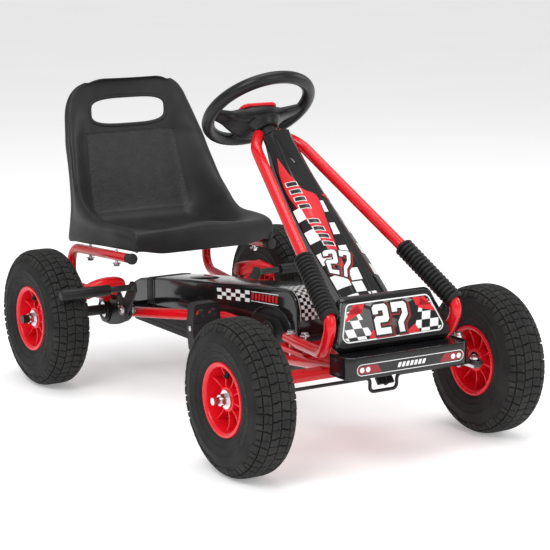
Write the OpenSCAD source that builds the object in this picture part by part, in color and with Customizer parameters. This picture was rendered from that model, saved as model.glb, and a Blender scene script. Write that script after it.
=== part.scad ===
// Pedal go kart for a child, in millimetres. The kart faces -Y, the driver's
// right hand is on -X, and the ground is z = 0.

/* [Wheels] */
// Outer diameter of each pneumatic tyre
tyre_d = 260; // [250:1:264]
// Width of each tyre
tyre_w = 82; // [70:1:84]
// Radius of the rim flange
rim_r = 62; // [58:1:66]
// Distance between the front and rear axle lines
wheelbase = 708; // [700:1:716]
// Distance between the centres of the two front tyres
track_front = 500; // [494:1:510]
// Distance between the centres of the two rear tyres
track_rear = 517; // [508:1:522]

/* [Steering] */
// Radius of the steering wheel rim's centre line
wheel_rim_r = 95; // [85:1:100]
// Thickness of the steering wheel rim
wheel_grip_d = 24; // [18:1:26]
// Tilt of the steering column from vertical
column_tilt = 40.6; // [40.2:0.1:41]
// Diameter of the steering column rod
column_d = 16; // [12:1:17]
// Length of each knuckle's steering arm
knuckle_arm = 46; // [42:1:48]
// Offset of the column's cranked end from its axis
column_crank = 34.5; // [30:0.5:36]

/* [Drive] */
// Crank length from the crank axis to a pedal spindle
crank_r = 100; // [85:1:102]
// Teeth on the chainring
chainring_teeth = 32; // [28:1:34]
// Teeth on the rear sprocket
sprocket_teeth = 16; // [14:1:18]
// Width of the chain case
case_w = 84; // [76:1:88]

/* [Seat] */
// Wall of the moulded seat shell
seat_t = 5; // [3:0.5:6]

/* [Frame] */
// Diameter of the side rails
rail_d = 20; // [18:1:22]
// Diameter of the steering support tubes
support_d = 20; // [18:1:21]
// Diameter of the seat support tubes
seat_tube_d = 18; // [16:1:19]
// Wall of the frame tubes
tube_t = 1.5; // [1:0.25:2]

/* [Hidden] */

$fn = 48;
y_shift = -13.2;
red = [0.78, 0.03, 0.05];
black = [0.05, 0.05, 0.05];
grey = [0.15, 0.15, 0.15];
zinc = [0.72, 0.72, 0.74];

axle_z = tyre_d / 2;
yf = -wheelbase / 2;
yr = wheelbase / 2;
king_x = 190;
crank_y = -118;
crank_z = 166;
chain_pitch = 12.7;
ring_r = chain_pitch / (2 * sin(180 / chainring_teeth));
sprocket_r = chain_pitch / (2 * sin(180 / sprocket_teeth));
wheel_c = [0, -5.3, 547.4];
col_n = [0, sin(column_tilt), cos(column_tilt)];
col_u = [0, -cos(column_tilt), sin(column_tilt)];
tie_y = yf - knuckle_arm;
tie_z = 142;
hub_w = 24;

function unit(v) = v / norm(v);
function flip(p, s) = [s * p[0], p[1], p[2]];
function col_at(s) = wheel_c - s * col_n;
function lerp(a, b, t) = a + (b - a) * t;
function smooth(t) = let (c = min(1, max(0, t))) c * c * (3 - 2 * c);

// Everything is drawn in this frame, which centres the kart over its footprint.
module placed() { translate([0, y_shift, 0]) children(); }
module left_side(s) { if (s > 0) mirror([1, 0, 0]) children(); else children(); }

module aligned(a, z) {
  x = unit(abs(z[2]) < 0.9 ? cross([0, 0, 1], z) : cross([1, 0, 0], z));
  y = cross(z, x);
  multmatrix([[x[0], y[0], z[0], a[0]], [x[1], y[1], z[1], a[1]], [x[2], y[2], z[2], a[2]], [0, 0, 0, 1]]) children();
}
module seg(a, b, r) { aligned(a, unit(b - a)) cylinder(h = norm(b - a), r = r); }
module ring(a, z, h, ro, ri) {
  aligned(a, unit(z)) difference() {
    cylinder(h = h, r = ro);
    translate([0, 0, -1]) cylinder(h = h + 2, r = ri);
  }
}
module xcyl(x0, x1, y, z, r) { translate([x0, y, z]) rotate([0, 90, 0]) cylinder(h = x1 - x0, r = r); }
module xhex(x0, x1, y, z, r) { translate([x0, y, z]) rotate([0, 90, 0]) cylinder(h = x1 - x0, r = r, $fn = 6); }
module xplate(x0, x1, pts) { translate([x0, 0, 0]) rotate([90, 0, 90]) linear_extrude(x1 - x0) polygon(pts); }

// Points along a bent rod: each corner of pts becomes an arc of radius R.
function bent(pts, R) = let (n = len(pts), d = [for (i = [0:n - 2]) unit(pts[i + 1] - pts[i])])
  [for (i = [0:n - 1]) each (i == 0 || i == n - 1) ? [pts[i]] :
    let (th = acos(min(1, d[i - 1] * d[i])), t = R * tan(th / 2), m = unit(d[i] - (d[i] * d[i - 1]) * d[i - 1]),
      c = pts[i] - d[i - 1] * t + m * R, k = max(1, ceil(th / 24)))
    [for (q = [0:k]) c - m * R * cos(th * q / k) + d[i - 1] * R * sin(th * q / k)]];
// A bent rod through pts, with a ball a hair wider than the rod in each joint.
module rod(pts, R, r, over = 0) {
  q = bent(pts, R); n = len(q);
  for (i = [0:n - 2]) {
    d = unit(q[i + 1] - q[i]);
    seg(q[i] - (i == 0 ? over : 0) * d, q[i + 1] + (i == n - 2 ? over : 0) * d, r);
  }
  for (i = [1:n - 2]) translate(q[i]) sphere(r = r + 0.05);
}
module tube(pts, R, r, t = tube_t) {
  difference() { rod(pts, R, r); rod(pts, R, r - t, 1); }
}

// A closed skin of thickness t over a grid of points, with cells left out
// where open[i][j] is true.
function grid_n(g, i, j) = let (a = g[min(i + 1, len(g) - 1)][j] - g[max(i - 1, 0)][j],
  b = g[i][min(j + 1, len(g[0]) - 1)] - g[i][max(j - 1, 0)]) unit(cross(b, a));
module skin(g, t, open) {
  nr = len(g); nc = len(g[0]);
  pts = concat([for (i = [0:nr - 1], j = [0:nc - 1]) g[i][j]],
    [for (i = [0:nr - 1], j = [0:nc - 1]) g[i][j] - t * grid_n(g, i, j)]);
  k = nr * nc;
  faces = [for (i = [0:nr - 2], j = [0:nc - 2]) if (!open[i][j])
    let (a = i * nc + j, b = a + 1, c = a + nc + 1, e = a + nc,
      lo = i == 0 || open[i - 1][j], hi = i == nr - 2 || open[i + 1][j],
      le = j == 0 || open[i][j - 1], ri = j == nc - 2 || open[i][j + 1])
    each concat([[a, b, c], [a, c, e], [k + a, k + c, k + b], [k + a, k + e, k + c]],
      lo ? [[a, k + a, k + b], [a, k + b, b]] : [],
      hi ? [[e, c, k + c], [e, k + c, k + e]] : [],
      le ? [[a, e, k + e], [a, k + e, k + a]] : [],
      ri ? [[b, k + b, k + c], [b, k + c, c]] : [])];
  polyhedron(points = pts, faces = [for (f = faces) [f[0], f[2], f[1]]], convexity = 8);
}

// ---------------------------------------------------------------- frame

rail_pts = [[-118, yr - 20, 129], [-60, 15, 170], [-58, -74, 170]];
module side_rail(s) { placed() color(red) left_side(s) tube(rail_pts, 60, rail_d / 2); }
module side_rail_right() { side_rail(-1); }
module side_rail_left() { side_rail(1); }

module crank_plate(s) {
  xa = s > 0 ? 45 : -49;
  difference() {
    xplate(xa, xa + 4, [[-60, 158], [-60, 184], [-84, 196], [-150, 196], [-172, 176], [-172, 128], [-150, 122], [-100, 134]]);
    xcyl(xa - 1, xa + 5, crank_y, crank_z, 15);
  }
}
module crank_plates() { placed() color(red) { crank_plate(-1); crank_plate(1); } }

module front_frame() {
  placed() color(red) difference() {
    union() {
      for (s = [-1, 1]) {
        rod([flip([60, -160, 134], s), flip([67, -214, 141], s), flip([88, -400, 168], s), flip([90, -448, 172], s)], 60, 10.5);
        translate([s * 73 - 12, -292, 161]) cube([24, 92, 6]);
      }
      translate([-84, -336, 158]) cube([168, 135, 3.5]);
      translate([-8, -318, 159]) cube([16, 12, 26]);
      seg(col_at(449), col_at(478), 14);
    }
    seg(col_at(440), col_at(490), 11);
    for (s = [-1, 1]) {
      rod([flip([60, -160, 134], s), flip([67, -214, 141], s), flip([88, -400, 168], s), flip([90, -448, 172], s)], 60, 9, 1);
      for (y = [-232, -276]) translate([s * 75, y, 150]) cylinder(h = 30, r = 3.2);
    }
  }
}

module front_axle_beam() {
  placed() color(red) difference() {
    union() {
      translate([-king_x + 8, yf - 12, 142]) cube([2 * king_x - 16, 24, 16]);
      for (s = [-1, 1]) translate([s * king_x, yf, 142]) cylinder(h = 34, r = 13);
    }
    translate([-king_x + 20, yf - 9.5, 139]) cube([2 * king_x - 40, 19, 16.5]);
    for (s = [-1, 1]) translate([s * king_x, yf, 140]) cylinder(h = 40, r = 7.05);
  }
}

support_pts = [[-20, -38, 505], [-47, -72, 488], [-98, -304, 340], [-127, -436, 254], [-123, -408, 196], [-90, -284, 184], [-66, -208, 177]];
module steering_support(s) {
  placed() color(red) left_side(s) difference() {
    tube(support_pts, 22, support_d / 2);
    for (y = [-232, -276]) translate([-75, y, 150]) cylinder(h = 60, r = 3.2);
    seg(col_at(20), col_at(100), 14);
  }
}
module steering_support_right() { steering_support(-1); }
module steering_support_left() { steering_support(1); }

module bellows(s) {
  a = flip([100.7, -310.1, 336.4], s); b = flip([124.6, -428, 259.4], s);
  L = norm(b - a); n = 14;
  placed() color(black) aligned(a, unit(b - a)) rotate_extrude() {
    difference() {
      union() {
        translate([0, 0]) square([13.6, L]);
        for (i = [0:n - 1]) translate([13, (i + 0.5) * L / n]) circle(r = 3.6, $fn = 24);
      }
      square([support_d / 2 + 0.6, L]);
    }
  }
}
module bellows_right() { bellows(-1); }
module bellows_left() { bellows(1); }

// ---------------------------------------------------------------- plastic panels

// Hood over the steering column: half width, y, z, crown and skirt depth.
hood = [[26, -70, 510, 11, 5], [29, -86, 490, 13, 8], [35, -121, 450, 16, 14], [39, -152, 420, 18, 18],
  [43, -187, 390, 18, 20], [46, -225, 360, 17, 22], [48, -264, 330, 15, 22], [48, -305, 300, 13, 22],
  [48, -345, 268, 11, 20], [47, -376, 240, 9, 16]];
hood_u = [-1, -0.8, -0.5, -0.2, 0.2, 0.5, 0.8, 1];
hood_f = unit([0, -0.68, 0.73]);
module fairing() {
  g = [for (h = hood) concat([[-h[0] - 1, h[1], h[2]] - h[4] * hood_f],
    [for (u = hood_u) [u * h[0], h[1], h[2]] + h[3] * (1 - u * u) * hood_f],
    [[h[0] + 1, h[1], h[2]] - h[4] * hood_f])];
  op = [for (i = [0:len(hood) - 1]) [for (j = [0:len(hood_u) + 1]) false]];
  placed() color(black) skin(g, 3, op);
}

board_w = [124, 91]; board_h = 90;
function round_poly(p, r, n) = [for (i = [0:len(p) - 1]) let (a = p[i], q = unit(p[(i + len(p) - 1) % len(p)] - a), w = unit(p[(i + 1) % len(p)] - a),
  h = acos(q * w) / 2, c = a + unit(q + w) * r / sin(h), d = r / tan(h), s = a + q * d, e = a + w * d)
  for (k = [0:n]) c + r * unit(lerp(s, e, k / n) - c)];
module number_board() {
  o = round_poly([[-board_w[0], 0], [board_w[0], 0], [board_w[1], board_h], [-board_w[1], board_h]], 14, 5);
  placed() color(black) difference() {
  translate([0, -436, 202]) rotate([90 - 21.3, 0, 0]) difference() {
    translate([0, 0, -20]) linear_extrude(20) polygon(o);
    translate([0, 0, -23]) linear_extrude(20) polygon(round_poly([[-board_w[0] + 4, 3], [board_w[0] - 4, 3], [board_w[1] - 4, board_h - 3], [-board_w[1] + 4, board_h - 3]], 12, 5));
  }
  // each rear corner is notched round its support tube
  for (s = [-1, 1]) seg(flip([127.7, -441, 264.4], s), flip([122, -401, 181.6], s), support_d / 2 + 0.8);
  }
}
module front_bumper() {
  o = round_poly([[-123, -432], [-123, -466], [-108, -477], [108, -477], [123, -466], [123, -432]], 8, 4);
  i = [[-119.5, -420], [-119.5, -464], [-106, -473.5], [106, -473.5], [119.5, -464], [119.5, -420]];
  placed() color(black) difference() {
    translate([0, 0, 165]) linear_extrude(36) polygon(o);
    translate([0, 0, 168]) linear_extrude(30) polygon(i);
  }
}

// Outline of the chain case, [y, z], above and below the line through both axles.
function split_z(y) = axle_z + (yr - y) * (crank_z - axle_z) / (yr - crank_y);
case_top = concat([[430, split_z(430)], [424, 146], [404, 168], [380, 178], [300, 192], [180, 208], [60, 222], [-60, 238], [-150, 250], [-176, 250], [-192, 240], [-200, 222]], [[-203, split_z(-203)]]);
case_low = concat([[-196, split_z(-196)]], [for (a = [180:15:255]) [crank_y + 76 * cos(a), crank_z + 76 * sin(a)]], [[-60, 94], [200, 91], [404, 90], [422, 102], [430, split_z(430)]]);
module case_shell(o, cut) {
  h = case_w / 2;
  difference() {
    xplate(-h, h, o);
    xplate(-h + 2.5, h - 2.5, cut);
    xcyl(-h - 1, h + 1, yr, axle_z, 11);
    xcyl(-h - 1, h + 1, crank_y, crank_z, 12);
  }
}
module chain_case_upper() {
  i = concat([[427, split_z(427) - 5]], [[421, 145], [402, 165.5], [380, 175.4], [300, 189.4], [180, 205.4], [60, 219.4], [-60, 235.4], [-150, 247.4], [-175, 247.4], [-189.6, 238.5], [-197.4, 221.5]], [[-200.4, split_z(-200) - 5]]);
  placed() color(black) difference() {
    case_shell(case_top, i);
    // round recess in the right and left walls around the crank
    for (s = [-1, 1]) translate([s * (case_w / 2 + 8), crank_y, crank_z]) rotate([0, 90, 0]) translate([0, 0, -9.5]) cylinder(h = 19, r = 46);
  }
}
module chain_case_lower() {
  i = concat([[-193, split_z(-193) + 5]], [for (a = [180:15:255]) [crank_y + 73.4 * cos(a), crank_z + 73.4 * sin(a)]], [[-60, 96.6], [200, 93.6], [402, 92.6], [419.5, 103.5], [427.4, split_z(427) + 5]]);
  placed() color(grey) translate([0, 0, -0.4]) case_shell(case_low, i);
}

// ---------------------------------------------------------------- chain drive

chain_d = sqrt(pow(yr - crank_y, 2) + pow(axle_z - crank_z, 2));
chain_a = atan2(axle_z - crank_z, yr - crank_y);
chain_b = asin((ring_r - sprocket_r) / chain_d);
module belt(e) {
  a = 90 - chain_b;
  polygon(concat([for (q = [0:30]) (ring_r + e) * [cos(a + (360 - 2 * a) * q / 30), sin(a + (360 - 2 * a) * q / 30)]],
    [for (q = [0:16]) [chain_d, 0] + (sprocket_r + e) * [cos(-a + 2 * a * q / 16), sin(-a + 2 * a * q / 16)]]));
}
module in_chain_plane() { translate([0, crank_y, crank_z]) rotate([90, 0, 90]) rotate(chain_a) children(); }
module drive_chain() {
  placed() color(zinc) in_chain_plane() {
    for (x = [-4.4, 2.2]) translate([0, 0, x]) linear_extrude(2.2) difference() { belt(4); belt(-4); }
    for (k = [0:10], w = [-1, 1]) {
      q = lerp(40, chain_d - 45, k / 10);
      a = 90 - chain_b;
      p = lerp(ring_r * [cos(a), w * sin(a)], [chain_d, 0] + sprocket_r * [cos(a), w * sin(a)], q / chain_d);
      translate([p[0], p[1], -4]) cylinder(h = 8, r = 3.5, $fn = 24);
    }
  }
}
module toothed(n, r, h, bore) {
  difference() {
    linear_extrude(h) polygon([for (i = [0:n - 1]) let (w = 360 / n) each [for (q = [[-0.5, -4], [-0.22, -3.4], [-0.1, 2.6], [0.1, 2.6], [0.22, -3.4]])
      (r + q[1]) * [cos((i + q[0]) * w), sin((i + q[0]) * w)]]]);
    translate([0, 0, -1]) cylinder(h = h + 2, r = bore);
  }
}
module chainring() {
  placed() color(zinc) in_chain_plane() translate([0, 0, -1.5]) difference() {
    toothed(chainring_teeth, ring_r, 3, 9);
    for (i = [0:4]) rotate(i * 72 + 18) translate([36, 0, -1]) cylinder(h = 5, r = 11);
  }
}
module rear_sprocket() {
  placed() color(zinc) translate([0, yr, axle_z]) rotate([90, 0, 90]) {
    translate([0, 0, -1.5]) toothed(sprocket_teeth, sprocket_r, 3, 8);
    translate([0, 0, 1.5]) difference() { cylinder(h = 14, r = 16); translate([0, 0, -1]) cylinder(h = 16, r = 8); }
  }
}

// ---------------------------------------------------------------- seat

// Stations along the seat from the front skirt over the pan and up the back:
// centre [y, z], side edge [y, z], half width, outer skirt edge [y, z].
seat_st = [
  [[188, 262], [190, 270], 142, [192, 268]],
  [[184, 288], [186, 288], 145, [191, 269]],
  [[187, 305], [188, 301], 146, [193, 270]],
  [[200, 313], [200, 308], 147, [201, 270]],
  [[225, 309], [225, 311], 149, [226, 269]],
  [[262, 298], [262, 311], 152, [262, 267]],
  [[310, 288], [314, 311], 155, [314, 264]],
  [[360, 283], [350, 320], 160, [362, 261]],
  [[400, 283], [372, 332], 163, [405, 259]],
  [[428, 289], [389, 345], 163, [438, 258]],
  [[446, 306], [402, 358], 161, [437, 290]],
  [[457, 335], [413, 372], 159, [435, 325]],
  [[468, 375], [428, 395], 155, [446, 365]],
  [[480, 415], [441, 420], 150, [463, 402]],
  [[490, 447], [454, 445], 146, [480, 437]],
  [[494, 466], [462, 460], 142, [489, 460]],
  [[498, 500], [478, 487], 136, [502, 492]],
  [[499, 526], [489, 508], 130, [508, 514]],
  [[498, 545], [495, 530], 121, [509, 533]],
  [[494, 558], [496, 546], 108, [506, 548]],
  [[488, 563], [493, 556], 92, [500, 557]]];
seat_u = [0, 0.2, 0.4, 0.57, 0.68, 0.79, 0.9, 1];
function seat_pt(k, u) = let (a = seat_st[k], g = smooth((u - 0.5) / 0.5),
  dip = (k >= 2 && k <= 6) ? [0, 6, 9, 7, 4][k - 2] * pow(sin(180 * min(1, u)), 2) : 0)
  [a[2] * sin(90 * u) * 0.35 + a[2] * u * 0.65, lerp(a[0][0], a[1][0], g), lerp(a[0][1], a[1][1], g) - dip];
function seat_sk(k, f) = let (a = seat_st[k]) [a[2] + 3 * f, lerp(a[1][0], a[3][0], f), lerp(a[1][1], a[3][1], f)];
function seat_row(k) = let (r = concat([for (u = seat_u) seat_pt(k, u)], [seat_sk(k, 0.5), seat_sk(k, 1)]), n = len(r))
  concat([for (i = [0:n - 2]) flip(r[n - 1 - i], -1)], r);
module seat_shell() {
  g = [for (k = [0:len(seat_st) - 1]) seat_row(k)];
  nc = len(g[0]); mid = (nc - 1) / 2;
  op = [for (i = [0:len(g) - 1]) [for (j = [0:nc - 2]) (i == 15 || i == 16) && abs(j + 0.5 - mid) < 3]];
  placed() color(grey) difference() {
    skin(g, seat_t, op);
    for (s = [-1, 1], y = [262, 372]) translate([s * 152, y, 240]) cylinder(h = 34, r = 3.2);
  }
}

seat_tube_pts = [[-152, 203, 256], [-153, 452, 240], [-154, 456, 166], [-141, 326, 160]];
module seat_support(s) {
  placed() color(red) left_side(s) difference() {
    tube(seat_tube_pts, 34, seat_tube_d / 2);
    for (y = [262, 372]) translate([-152, y, 230]) cylinder(h = 50, r = 3.2);
  }
}
module seat_support_right() { seat_support(-1); }
module seat_support_left() { seat_support(1); }
module tube_end_caps() {
  d = unit([0, 249, -16]);
  placed() color(black) for (s = [-1, 1]) {
    p = flip([152, 203, 256], s);
    seg(p - 9 * d, p, seat_tube_d / 2 + 1.5);
    seg(p, p + 12 * d, seat_tube_d / 2 - tube_t);
  }
}
module bolt(p, top, low, rh = 6.5, r = 3) {
  translate([p[0], p[1], low]) cylinder(h = top - low, r = r);
  translate([p[0], p[1], top]) cylinder(h = 4, r = rh, $fn = 6);
}
module frame_bolts() {
  placed() color(zinc) {
    for (s = [-1, 1]) {
      for (y = [-232, -276]) bolt([s * 75, y], y == -232 ? 190.5 : 194.5, 152);
      // seat bolts, driven from below
      for (y = [262, 372]) translate([s * 152, y, 0]) {
        z = 252 - (y - 203) * 0.0642;
        translate([0, 0, z - 14]) cylinder(h = 4, r = 6, $fn = 6);
        translate([0, 0, z - 10]) cylinder(h = 26, r = 3);
      }
      // brake pivot bolts
      xcyl(s > 0 ? 119 : -142, s > 0 ? 142 : -119, 262, 146, 5);
      xhex(s > 0 ? 115.4 : -119.4, s > 0 ? 119.4 : -115.4, 262, 146, 8);
      xhex(s > 0 ? 142 : -146, s > 0 ? 146 : -142, 262, 146, 8);
    }
  }
}

module axle_bracket(s) {
  xa = s > 0 ? 128 : -132;
  difference() {
    xplate(xa, xa + 4, [[376, 108], [380, 120], [380, 150], [366, 166], [290, 166], [272, 166], [252, 164], [246, 156], [248, 134], [262, 126], [300, 112], [330, 104], [368, 104]]);
    xcyl(xa - 1, xa + 5, yr, axle_z, 16);
    xcyl(xa - 1, xa + 5, 262, 146, 5);
  }
}
module axle_brackets() { placed() color(black) { axle_bracket(-1); axle_bracket(1); } }
module axle_bearings() {
  placed() color(zinc) for (s = [-1, 1]) translate([s * 130 - 6, yr, axle_z]) rotate([0, 90, 0]) difference() {
    cylinder(h = 12, r = 16);
    translate([0, 0, -1]) cylinder(h = 14, r = 8.05);
  }
}
module crank_bearings() {
  placed() color(zinc) for (s = [-1, 1]) translate([s * 47 - 4.5, crank_y, crank_z]) rotate([0, 90, 0]) difference() {
    cylinder(h = 9, r = 15);
    translate([0, 0, -1]) cylinder(h = 11, r = 8.05);
  }
}
module column_bushes() {
  placed() color(black) {
    ring(col_at(94), col_n, 54, 14, column_d / 2 + 0.05);
    ring(col_at(477.5), col_n, 29, 11, column_d / 2 + 0.05);
  }
}
module brake_springs() {
  placed() color(zinc) for (s = [-1, 1], k = [0:2])
    translate([s * (121.2 + 2.6 * k), 262, 146]) rotate([0, 90, 0]) rotate_extrude() translate([7.6, 0]) circle(r = 1.2, $fn = 16);
}

// ---------------------------------------------------------------- steering

module steering_column() {
  a = col_at(484); b = a + column_crank * col_u; c = b - 96 * col_n;
  placed() color(black) {
    seg(col_at(2), col_at(484) - 8 * col_n, column_d / 2);
    seg(a - 3 * col_u, b + 8 * col_u, 5);
    seg(b + 8 * col_n, c, 4);
    aligned(b - 64 * col_n, -col_n) translate([-16, -2.5, 0]) cube([32, 5, 30]);
  }
}
module in_wheel_plane() { multmatrix([[1, 0, 0, wheel_c[0]], [0, col_u[1], col_n[1], wheel_c[1]], [0, col_u[2], col_n[2], wheel_c[2]], [0, 0, 0, 1]]) mirror([0, 0, 0]) children(); }
module steering_wheel() {
  r = wheel_rim_r; g = wheel_grip_d / 2;
  placed() color(black) in_wheel_plane() difference() {
    union() {
      rotate_extrude($fn = 72) translate([r, 0]) circle(r = g);
      translate([0, 0, -16]) cylinder(h = 14, r = 34);
      for (s = [-1, 1]) translate([s > 0 ? 26 : -r + 4, -16, -11]) cube([r - 30, 30, 9]);
      translate([-17, -r + 4, -11]) cube([34, r - 30, 9]);
    }
    translate([0, 0, -20]) cylinder(h = 16, r = column_d / 2);
  }
}
module wheel_pad() {
  o = round_poly([[-42, -22], [42, -22], [36, 26], [-36, 26]], 12, 5);
  placed() color(red) in_wheel_plane() translate([0, 0, -2]) linear_extrude(10) polygon(o);
}
module wheel_bolt() {
  placed() color(zinc) seg(col_at(26) - [12, 0, 0], col_at(26) + [12, 0, 0], 2.5);
}
module tie_rod() {
  k = king_x;
  placed() color(black) difference() {
    union() {
      rod([[-k + 8, tie_y, tie_z], [-27, tie_y, tie_z], [-27, tie_y, tie_z - 24], [27, tie_y, tie_z - 24], [27, tie_y, tie_z], [k - 8, tie_y, tie_z]], 8, 3);
      for (s = [-1, 1]) translate([s * k, tie_y, tie_z - 2.5]) linear_extrude(5) polygon(round_poly([[-11, -16], [11, -16], [11, 17], [-11, 17]], 10, 5));
    }
    for (s = [-1, 1]) translate([s * k, tie_y, tie_z - 4]) {
      for (y = [-5, 6]) translate([0, y, 0]) cylinder(h = 8, r = 6);
      translate([-6, -5, 0]) cube([12, 11, 8]);
    }
  }
}
module knuckle(s) {
  x = s * king_x;
  placed() color(zinc) {
    translate([x, yf, axle_z]) cylinder(h = 54, r = 7);
    translate([x, yf, 137]) cylinder(h = 4.6, r = 12);
    translate([x, yf, 176.4]) cylinder(h = 3, r = 11);
    translate([x, yf, axle_z]) sphere(r = 7);
    xcyl(s > 0 ? king_x : -track_front / 2 - 50, s > 0 ? track_front / 2 + 50 : -king_x, yf, axle_z, 6);
    xcyl(s > 0 ? king_x : -track_front / 2 + hub_w + 0.4, s > 0 ? track_front / 2 - hub_w - 0.4 : -king_x, yf, axle_z, 8.5);
    translate([x - 8, tie_y - 8, 132]) cube([16, knuckle_arm + 8, 5]);
    translate([x, tie_y, 136]) cylinder(h = 14, r = 4);
    translate([x, tie_y, 146.5]) cylinder(h = 3, r = 8.5);
  }
}
module knuckle_right() { knuckle(-1); }
module knuckle_left() { knuckle(1); }

// ---------------------------------------------------------------- wheels

module spun(x, y) { translate([x, y, axle_z]) rotate([0, 90, 0]) children(); }
// The tyre's section is a bulging C around an air space that the inner tube fills.
module tyre(x, y) {
  r = tyre_d / 2; w = tyre_w / 2; b = rim_r - 3.6;
  placed() color(black) spun(x, y) rotate_extrude($fn = 96) polygon([
    [b, -w + 9], [rim_r + 3, -w + 8], [rim_r + 12, -w + 3], [rim_r + 26, -w], [rim_r + 40, -w + 1], [r - 13, -w + 5], [r - 4, -w + 13], [r, -w + 22],
    [r, w - 22], [r - 4, w - 13], [r - 13, w - 5], [rim_r + 40, w - 1], [rim_r + 26, w], [rim_r + 12, w - 3], [rim_r + 3, w - 8], [b, w - 9],
    [b, w - 15], [rim_r + 12, w - 9], [rim_r + 26, w - 6], [rim_r + 40, w - 7], [r - 18, w - 15], [r - 11, w - 26],
    [r - 11, -w + 26], [r - 18, -w + 15], [rim_r + 40, -w + 7], [rim_r + 26, -w + 6], [rim_r + 12, -w + 9], [b, -w + 15]]);
}
module inner_tube(x, y, s) {
  c = (rim_r + tyre_d / 2 - 14) / 2 - 3; t = 20;
  placed() color(grey) spun(x, y) difference() {
    union() {
      rotate_extrude($fn = 64) translate([c + 3, 0]) circle(r = t);
      translate([-(c - t + 4), 0, s * 6]) rotate([0, 90 - s * 32, 0]) translate([0, 0, -2]) cylinder(h = 30, r = 3.2);
    }
    rotate_extrude($fn = 64) translate([c + 3, 0]) circle(r = t - 1.6);
    translate([-(c - t + 4), 0, s * 6]) rotate([0, 90 - s * 32, 0]) translate([0, 0, -12]) cylinder(h = 44, r = 1);
  }
}
module rim(x, y, bore, s) {
  placed() color(red) spun(x, y) difference() {
    union() {
      rotate_extrude($fn = 72) polygon([[rim_r - 16, -32], [rim_r - 4, -32], [rim_r - 4, -34.3], [rim_r, -34.3], [rim_r, -31], [rim_r - 4, -30.5], [rim_r - 4, -22], [rim_r - 12, -17], [rim_r - 12, 17], [rim_r - 4, 22], [rim_r - 4, 30.5], [rim_r, 31], [rim_r, 34.3], [rim_r - 4, 34.3], [rim_r - 4, 32], [rim_r - 16, 32]]);
      translate([0, 0, -hub_w]) cylinder(h = 2 * hub_w, r = 18.5);
      translate([0, 0, -4]) cylinder(h = 8, r = rim_r - 14);
      for (i = [0:8]) rotate(i * 40 + 200) translate([15, -1.75, -22]) cube([rim_r - 30, 3.5, 44]);
    }
    translate([0, 0, -hub_w - 1]) cylinder(h = 2 * hub_w + 2, r = bore);
    // valve hole
    rotate(180) translate([rim_r - 26, 0, s * 24.7]) rotate([0, 90, 0]) rotate([0, s * 32, 0]) translate([0, 0, -6]) cylinder(h = 44, r = 4.2);
  }
}
module wheel_bearings(x) {
  placed() color(zinc) spun(x, yf) for (z = [-hub_w, hub_w - 10]) translate([0, 0, z]) difference() {
    cylinder(h = 10, r = 14);
    translate([0, 0, -1]) cylinder(h = 12, r = 6.05);
  }
}
module axle_nut(x, y, s, r) {
  a = x + s * (hub_w + 0.3);
  xa = s > 0 ? a : a - 2.5; xb = s > 0 ? a + 2.5 : a - 13.5;
  difference() {
    union() { xcyl(xa, xa + 2.5, y, axle_z, 15.5); xhex(xb, xb + 11, y, axle_z, 11); }
    xcyl(min(xa, xb) - 1, max(xa, xb) + 13, y, axle_z, r);
  }
}
module front_axle_nut_right() { placed() color(zinc) axle_nut(-track_front / 2, yf, -1, 6); }
module front_axle_nut_left() { placed() color(zinc) axle_nut(track_front / 2, yf, 1, 6); }
module front_tyre_right() { tyre(-track_front / 2, yf); }
module front_tyre_left() { tyre(track_front / 2, yf); }
module front_rim_right() { rim(-track_front / 2, yf, 14, -1); }
module front_rim_left() { rim(track_front / 2, yf, 14, 1); }
module front_bearings_right() { wheel_bearings(-track_front / 2); }
module front_bearings_left() { wheel_bearings(track_front / 2); }
module front_inner_tube_right() { inner_tube(-track_front / 2, yf, -1); }
module front_inner_tube_left() { inner_tube(track_front / 2, yf, 1); }

module rear_axle() {
  e = track_rear / 2 + 49.5;
  placed() color(zinc) {
    xcyl(-e, e, yr, axle_z, 8);
    for (s = [-1, 1]) xcyl(s > 0 ? 138 : -track_rear / 2 + hub_w, s > 0 ? track_rear / 2 - hub_w : -138, yr, axle_z, 10);
  }
}
module rear_tyre_right() { tyre(-track_rear / 2, yr); }
module rear_tyre_left() { tyre(track_rear / 2, yr); }
module rear_rim_right() { rim(-track_rear / 2, yr, 8, -1); }
module rear_rim_left() { rim(track_rear / 2, yr, 8, 1); }
module rear_axle_nuts() { placed() color(zinc) for (s = [-1, 1]) axle_nut(s * track_rear / 2, yr, s, 8); }
module rear_inner_tubes() { inner_tube(-track_rear / 2, yr, -1); inner_tube(track_rear / 2, yr, 1); }

// ---------------------------------------------------------------- cranks and pedals

// The right crank arm points back and the left one forward, both level.
module crankset() {
  placed() color(grey) {
    xcyl(-93, 93, crank_y, crank_z, 8);
    for (s = [-1, 1]) {
      xa = s > 0 ? 86 : -93;
      yp = crank_y - s * crank_r;
      translate([xa, min(crank_y, yp), crank_z - 9]) cube([7, crank_r, 18]);
      xcyl(xa, xa + 7, crank_y, crank_z, 14);
      xcyl(xa, xa + 7, yp, crank_z, 10);
      xcyl(s > 0 ? 93 : -153, s > 0 ? 153 : -93, yp, crank_z, 5);
    }
  }
}
module pedal(s) {
  yp = crank_y - s * crank_r;
  x0 = s > 0 ? 94.5 : -152;
  placed() color(black) difference() {
    union() {
      translate([x0, yp - 12, crank_z - 45]) cube([57.5, 24, 90]);
      xcyl(x0, x0 + 57.5, yp, crank_z, 12);
    }
    xcyl(x0 - 1, x0 + 59, yp, crank_z, 5.05);
    translate([x0 + 16, yp - 20, crank_z + 26]) rotate([-90, 0, 0]) cylinder(h = 40, r = 9);
    translate([x0 + 41, yp - 20, crank_z + 26]) rotate([-90, 0, 0]) cylinder(h = 40, r = 9);
    translate([x0 + 10, yp - 20, crank_z - 37]) cube([37.5, 40, 18]);
  }
}
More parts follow.
